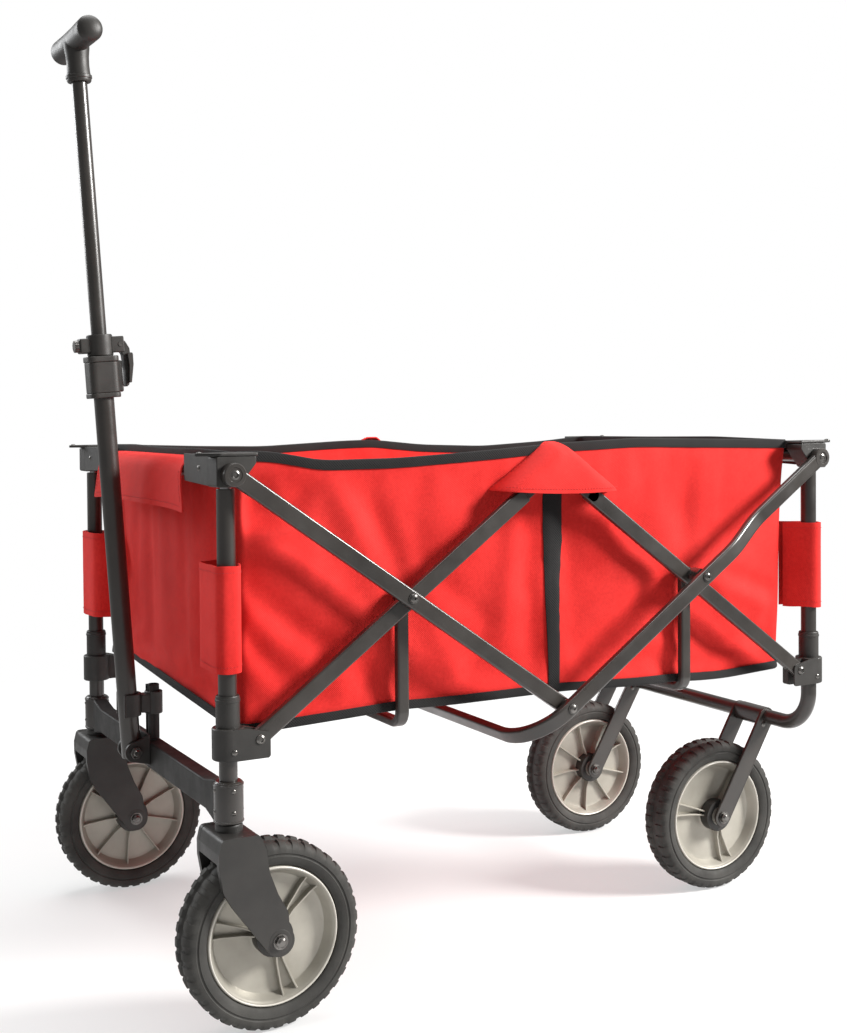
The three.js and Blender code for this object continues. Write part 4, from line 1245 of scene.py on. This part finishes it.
def front_flap():
    """Cloth sewn inside the front rim that folds forward over the top rail and hangs down in front."""
    path = [(16.2, 613), (12, 614.4), (6, 615), (0, 614.6), (-7, 613), (-13, 609), (-16.6, 602), (-18, 594),
            (-18.6, 584), (-19.0, 575), (-19.4, 566), (-20, 556.5)]
    rows = []
    for j in range(41):
        across = 2 * j / 40 - 1
        row = []
        for k, (x, z) in enumerate(path):
            fall = k / (len(path) - 1)
            y = across * (146 + 31 * fall ** 1.2)
            wave = 1.3 * noise.noise(Vector((y / 46, z / 60, 8.0))) * step(0.35, 1.0, fall)
            curl = 1.6 * fall * abs(across) ** 8
            row.append((x + wave - curl, y, z - 3.5 * abs(across) ** 6 * fall))
        rows.append(row)
    mesh, area = sheet_mesh(rows)
    flap = soft_piece("front_flap", mesh, RED)
    lines = [[((r[-1][0] - 0.8, r[-1][1], r[-1][2] + 6), (-1, 0, 0)) for r in rows[1:-1]]]
    for edge, inward in ((rows[0], 5), (rows[-1], -5)):
        lines.append([((p[0] - 0.9, p[1] + inward, p[2]), (-1, 0, 0)) for p in edge[6:-1]])
    thread = stitches("front_flap_stitches", lines)


def spline(points, steps):
    """A smooth line through points, with steps to each span."""
    last = len(points) - 1
    out = []
    for i in range(last * steps + 1):
        k, t = i // steps, i % steps / steps
        p = [Vector(points[min(max(k + j, 0), last)]) for j in (-1, 0, 1, 2)]
        out.append(0.5 * ((2 * p[1]) + (p[2] - p[0]) * t + (2 * p[0] - 5 * p[1] + 4 * p[2] - p[3]) * t * t
                          + (3 * p[1] - p[0] - 3 * p[2] + p[3]) * t ** 3))
    return out


def post_tab(end, x0, d, side, s, z0, z1):
    """Loop of doubled cloth from the tub's corner round a post."""
    if d > 0:
        plan = [(17.6, -52), (8, -51.5), (-6, -50), (-12, -46), (-14.6, -38), (-14.9, -20), (-14.9, 2),
                (-13.4, 9.5), (-8.5, 14.2), (-1, 15.6), (8, 14.4), (14, 4), (17.8, -9.8)]
    else:
        plan = [(26.6, -20.5), (23, -13.5), (17.5, -4.5), (11, 4.5), (4.5, 11.5), (-2.5, 14.4), (-9.5, 12),
                (-13.6, 5.2), (-14.3, -3), (-11, -11), (-3, -16.4), (10, -22), (19, -26), (25.4, -29.5)]
    loop = spline(plan, 4)
    rows = []
    for i, q in enumerate(loop):
        row = []
        free = max(sin(pi * i / (len(loop) - 1)), 0.0) ** 0.5
        for j in range(17):
            z = z0 + (z1 - z0) * j / 16
            wave = 0.5 * noise.noise(Vector((q.x / 18, z / 22, 6.0 + s + d))) * free
            lip = 0.8 * (2 * j / 16 - 1) ** 4 * free
            sag = 1.3 * noise.noise(Vector((q.x / 20, q.y / 20, j // 9)))
            row.append((at(x0, d, q.x * (1 + wave * 0.02)), off(s, q.y * (1 + (wave + lip) * 0.02)), z + sag))
        rows.append(row)
    mesh, _ = sheet_mesh(rows, levels=0, thick=1.8)
    body = f"{end}_uppers"
    tab = soft_piece(f"{end}_tab_{side}", mesh, RED, body=body, squashed=False)
    lines = []
    for j in (1, 15):
        line = []
        for i in range(2, len(rows) - 2):
            a, mid, b = (Vector(rows[i + k][j]) for k in (-1, 0, 1))
            n = (b - a).cross(Vector((0, 0, 1))).normalized()
            if n.dot(mid - Vector((x0, off(s, 0), mid.z))) < 0:
                n = -n
            line.append((mid + n * 0.95, n))
        lines.append(line)
    thread = stitches(f"{end}_tab_stitches_{side}", lines, body=body, squashed=False, pitch=3.8, length=2.4)


def fabric():
    mesh, held = tub_mesh()
    relax(mesh, held, 24, 0.006, 5.0)
    tree = BVHTree.FromPolygons([v.co for v in mesh.vertices], [p.vertices[:] for p in mesh.polygons])
    shell = finish_mesh(mesh, 1, SKIN)
    tub = soft_piece("tub_shell", shell, RED,
                     nodes=["tub_side_left", "tub_side_right", "tub_front", "tub_rear", "tub_floor"])
    rim_section = [(0.12, -10.4), (1.05, -10.4), (1.25, -9.6), (1.25, -0.6), (0.7, 0.8), (-0.75, 1.3),
                   (-2.2, 0.8), (-2.8, -0.6), (-2.8, -9.6), (-2.6, -10.4), (-1.75, -10.4), (-1.65, -0.5),
                   (-0.75, 0.25), (0.12, -0.5)]
    foot_section = [(0.15, 8.2), (1.0, 8.2), (1.4, 7.6), (1.9, 4), (2.4, 0.8), (2.2, -1.2), (0.8, -2.4),
                    (-2.0, -2.6), (-5.5, -2.3), (-6, -1.7), (-5.5, -0.5), (-2, -0.35), (-0.2, -0.25),
                    (0.15, 0.4)]
    edging = [band("rim_binding", 1, rim_section), band("bottom_piping", 0, foot_section)]
    edging += [centre_strap(tree, side, s) for side, s in SIDES]
    for side, s in SIDES:
        ridge_flap(tree, side, s)
        post_tab("front", 0.0, 1, side, s, 388, 502)
        post_tab("rear", BASE, -1, side, s, 397, 511)
    front_flap()


fabric()


# ------------------------------------------------------------------ stage
def mix_shader(tree, fac, a, b):
    """Blends two nodes' shaders; fac is a number or a socket."""
    mix = tree.nodes.new("ShaderNodeMixShader")
    put(tree, mix.inputs[0], fac)
    tree.links.new(a.outputs[0], mix.inputs[1])
    tree.links.new(b.outputs[0], mix.inputs[2])
    return mix


def studio():
    reach = 5000
    corners = [pt(x, y, -0.4) for y in (-reach, reach) for x in (-reach, reach)]
    mesh = bpy.data.meshes.new("floor")
    mesh.from_pydata(corners, [], [(0, 1, 3, 2)])
    floor = Nodes("pale_floor")
    pale = floor.ramp(floor.noise(1.4, 4), (0.80, 0.80, 0.80), (0.86, 0.86, 0.855), 0.3, 0.7)
    mat = floor.set(Base_Color=pale, Roughness=0.9, Specular_IOR_Level=0.0)
    away = floor.node("ShaderNodeVectorMath", _operation="LENGTH", Vector=floor.coord.outputs["Object"])
    fade = floor.node("ShaderNodeMapRange", _interpolation_type="SMOOTHSTEP", Value=away.outputs["Value"],
                      From_Min=0.75, From_Max=1.9)
    glow = floor.node("ShaderNodeEmission", Strength=1.0)
    lit = mix_shader(floor.tree, 0.5, floor.bsdf, glow)
    blend = mix_shader(floor.tree, fade.outputs[0], lit, floor.node("ShaderNodeBsdfTransparent"))
    floor.link(blend.outputs[0], floor.out.inputs[0])
    mesh.materials.append(mat)
    add("floor", mesh)
    world = bpy.data.worlds.new("studio")
    SCENE.world = world
    world.use_nodes = True
    tree = world.node_tree
    back = tree.nodes["Background"]
    back.inputs["Color"].default_value = (1.0, 0.99, 0.98, 1)
    back.inputs["Strength"].default_value = 0.34
    seen = tree.nodes.new("ShaderNodeBackground")
    seen.inputs["Color"].default_value = (1.0, 1.0, 1.0, 1)
    rays = tree.nodes.new("ShaderNodeLightPath")
    mix = mix_shader(tree, rays.outputs["Is Camera Ray"], back, seen)
    tree.links.new(mix.outputs[0], tree.nodes["World Output"].inputs[0])
    for name, place, size, power, colour in (
            ("key", (2900, -2000, 2100), 1.0, 262, (1.0, 0.985, 0.96)),
            ("top", (300, 400, 3200), 2.4, 75, (1.0, 1.0, 1.0)),
            ("back", (-1400, 2600, 1700), 1.6, 45, (0.97, 0.985, 1.0))):
        data = bpy.data.lights.new(name, "AREA")
        data.shape = "DISK"
        data.size = size
        data.energy = power
        data.color = colour
        lamp = add(name, data)
        lamp.location = pt(*place)
        lamp.rotation_euler = (pt(MID, 0, 350) - lamp.location).to_track_quat("-Z", "Y").to_euler()


studio()
SCENE.view_settings.view_transform = "Standard"
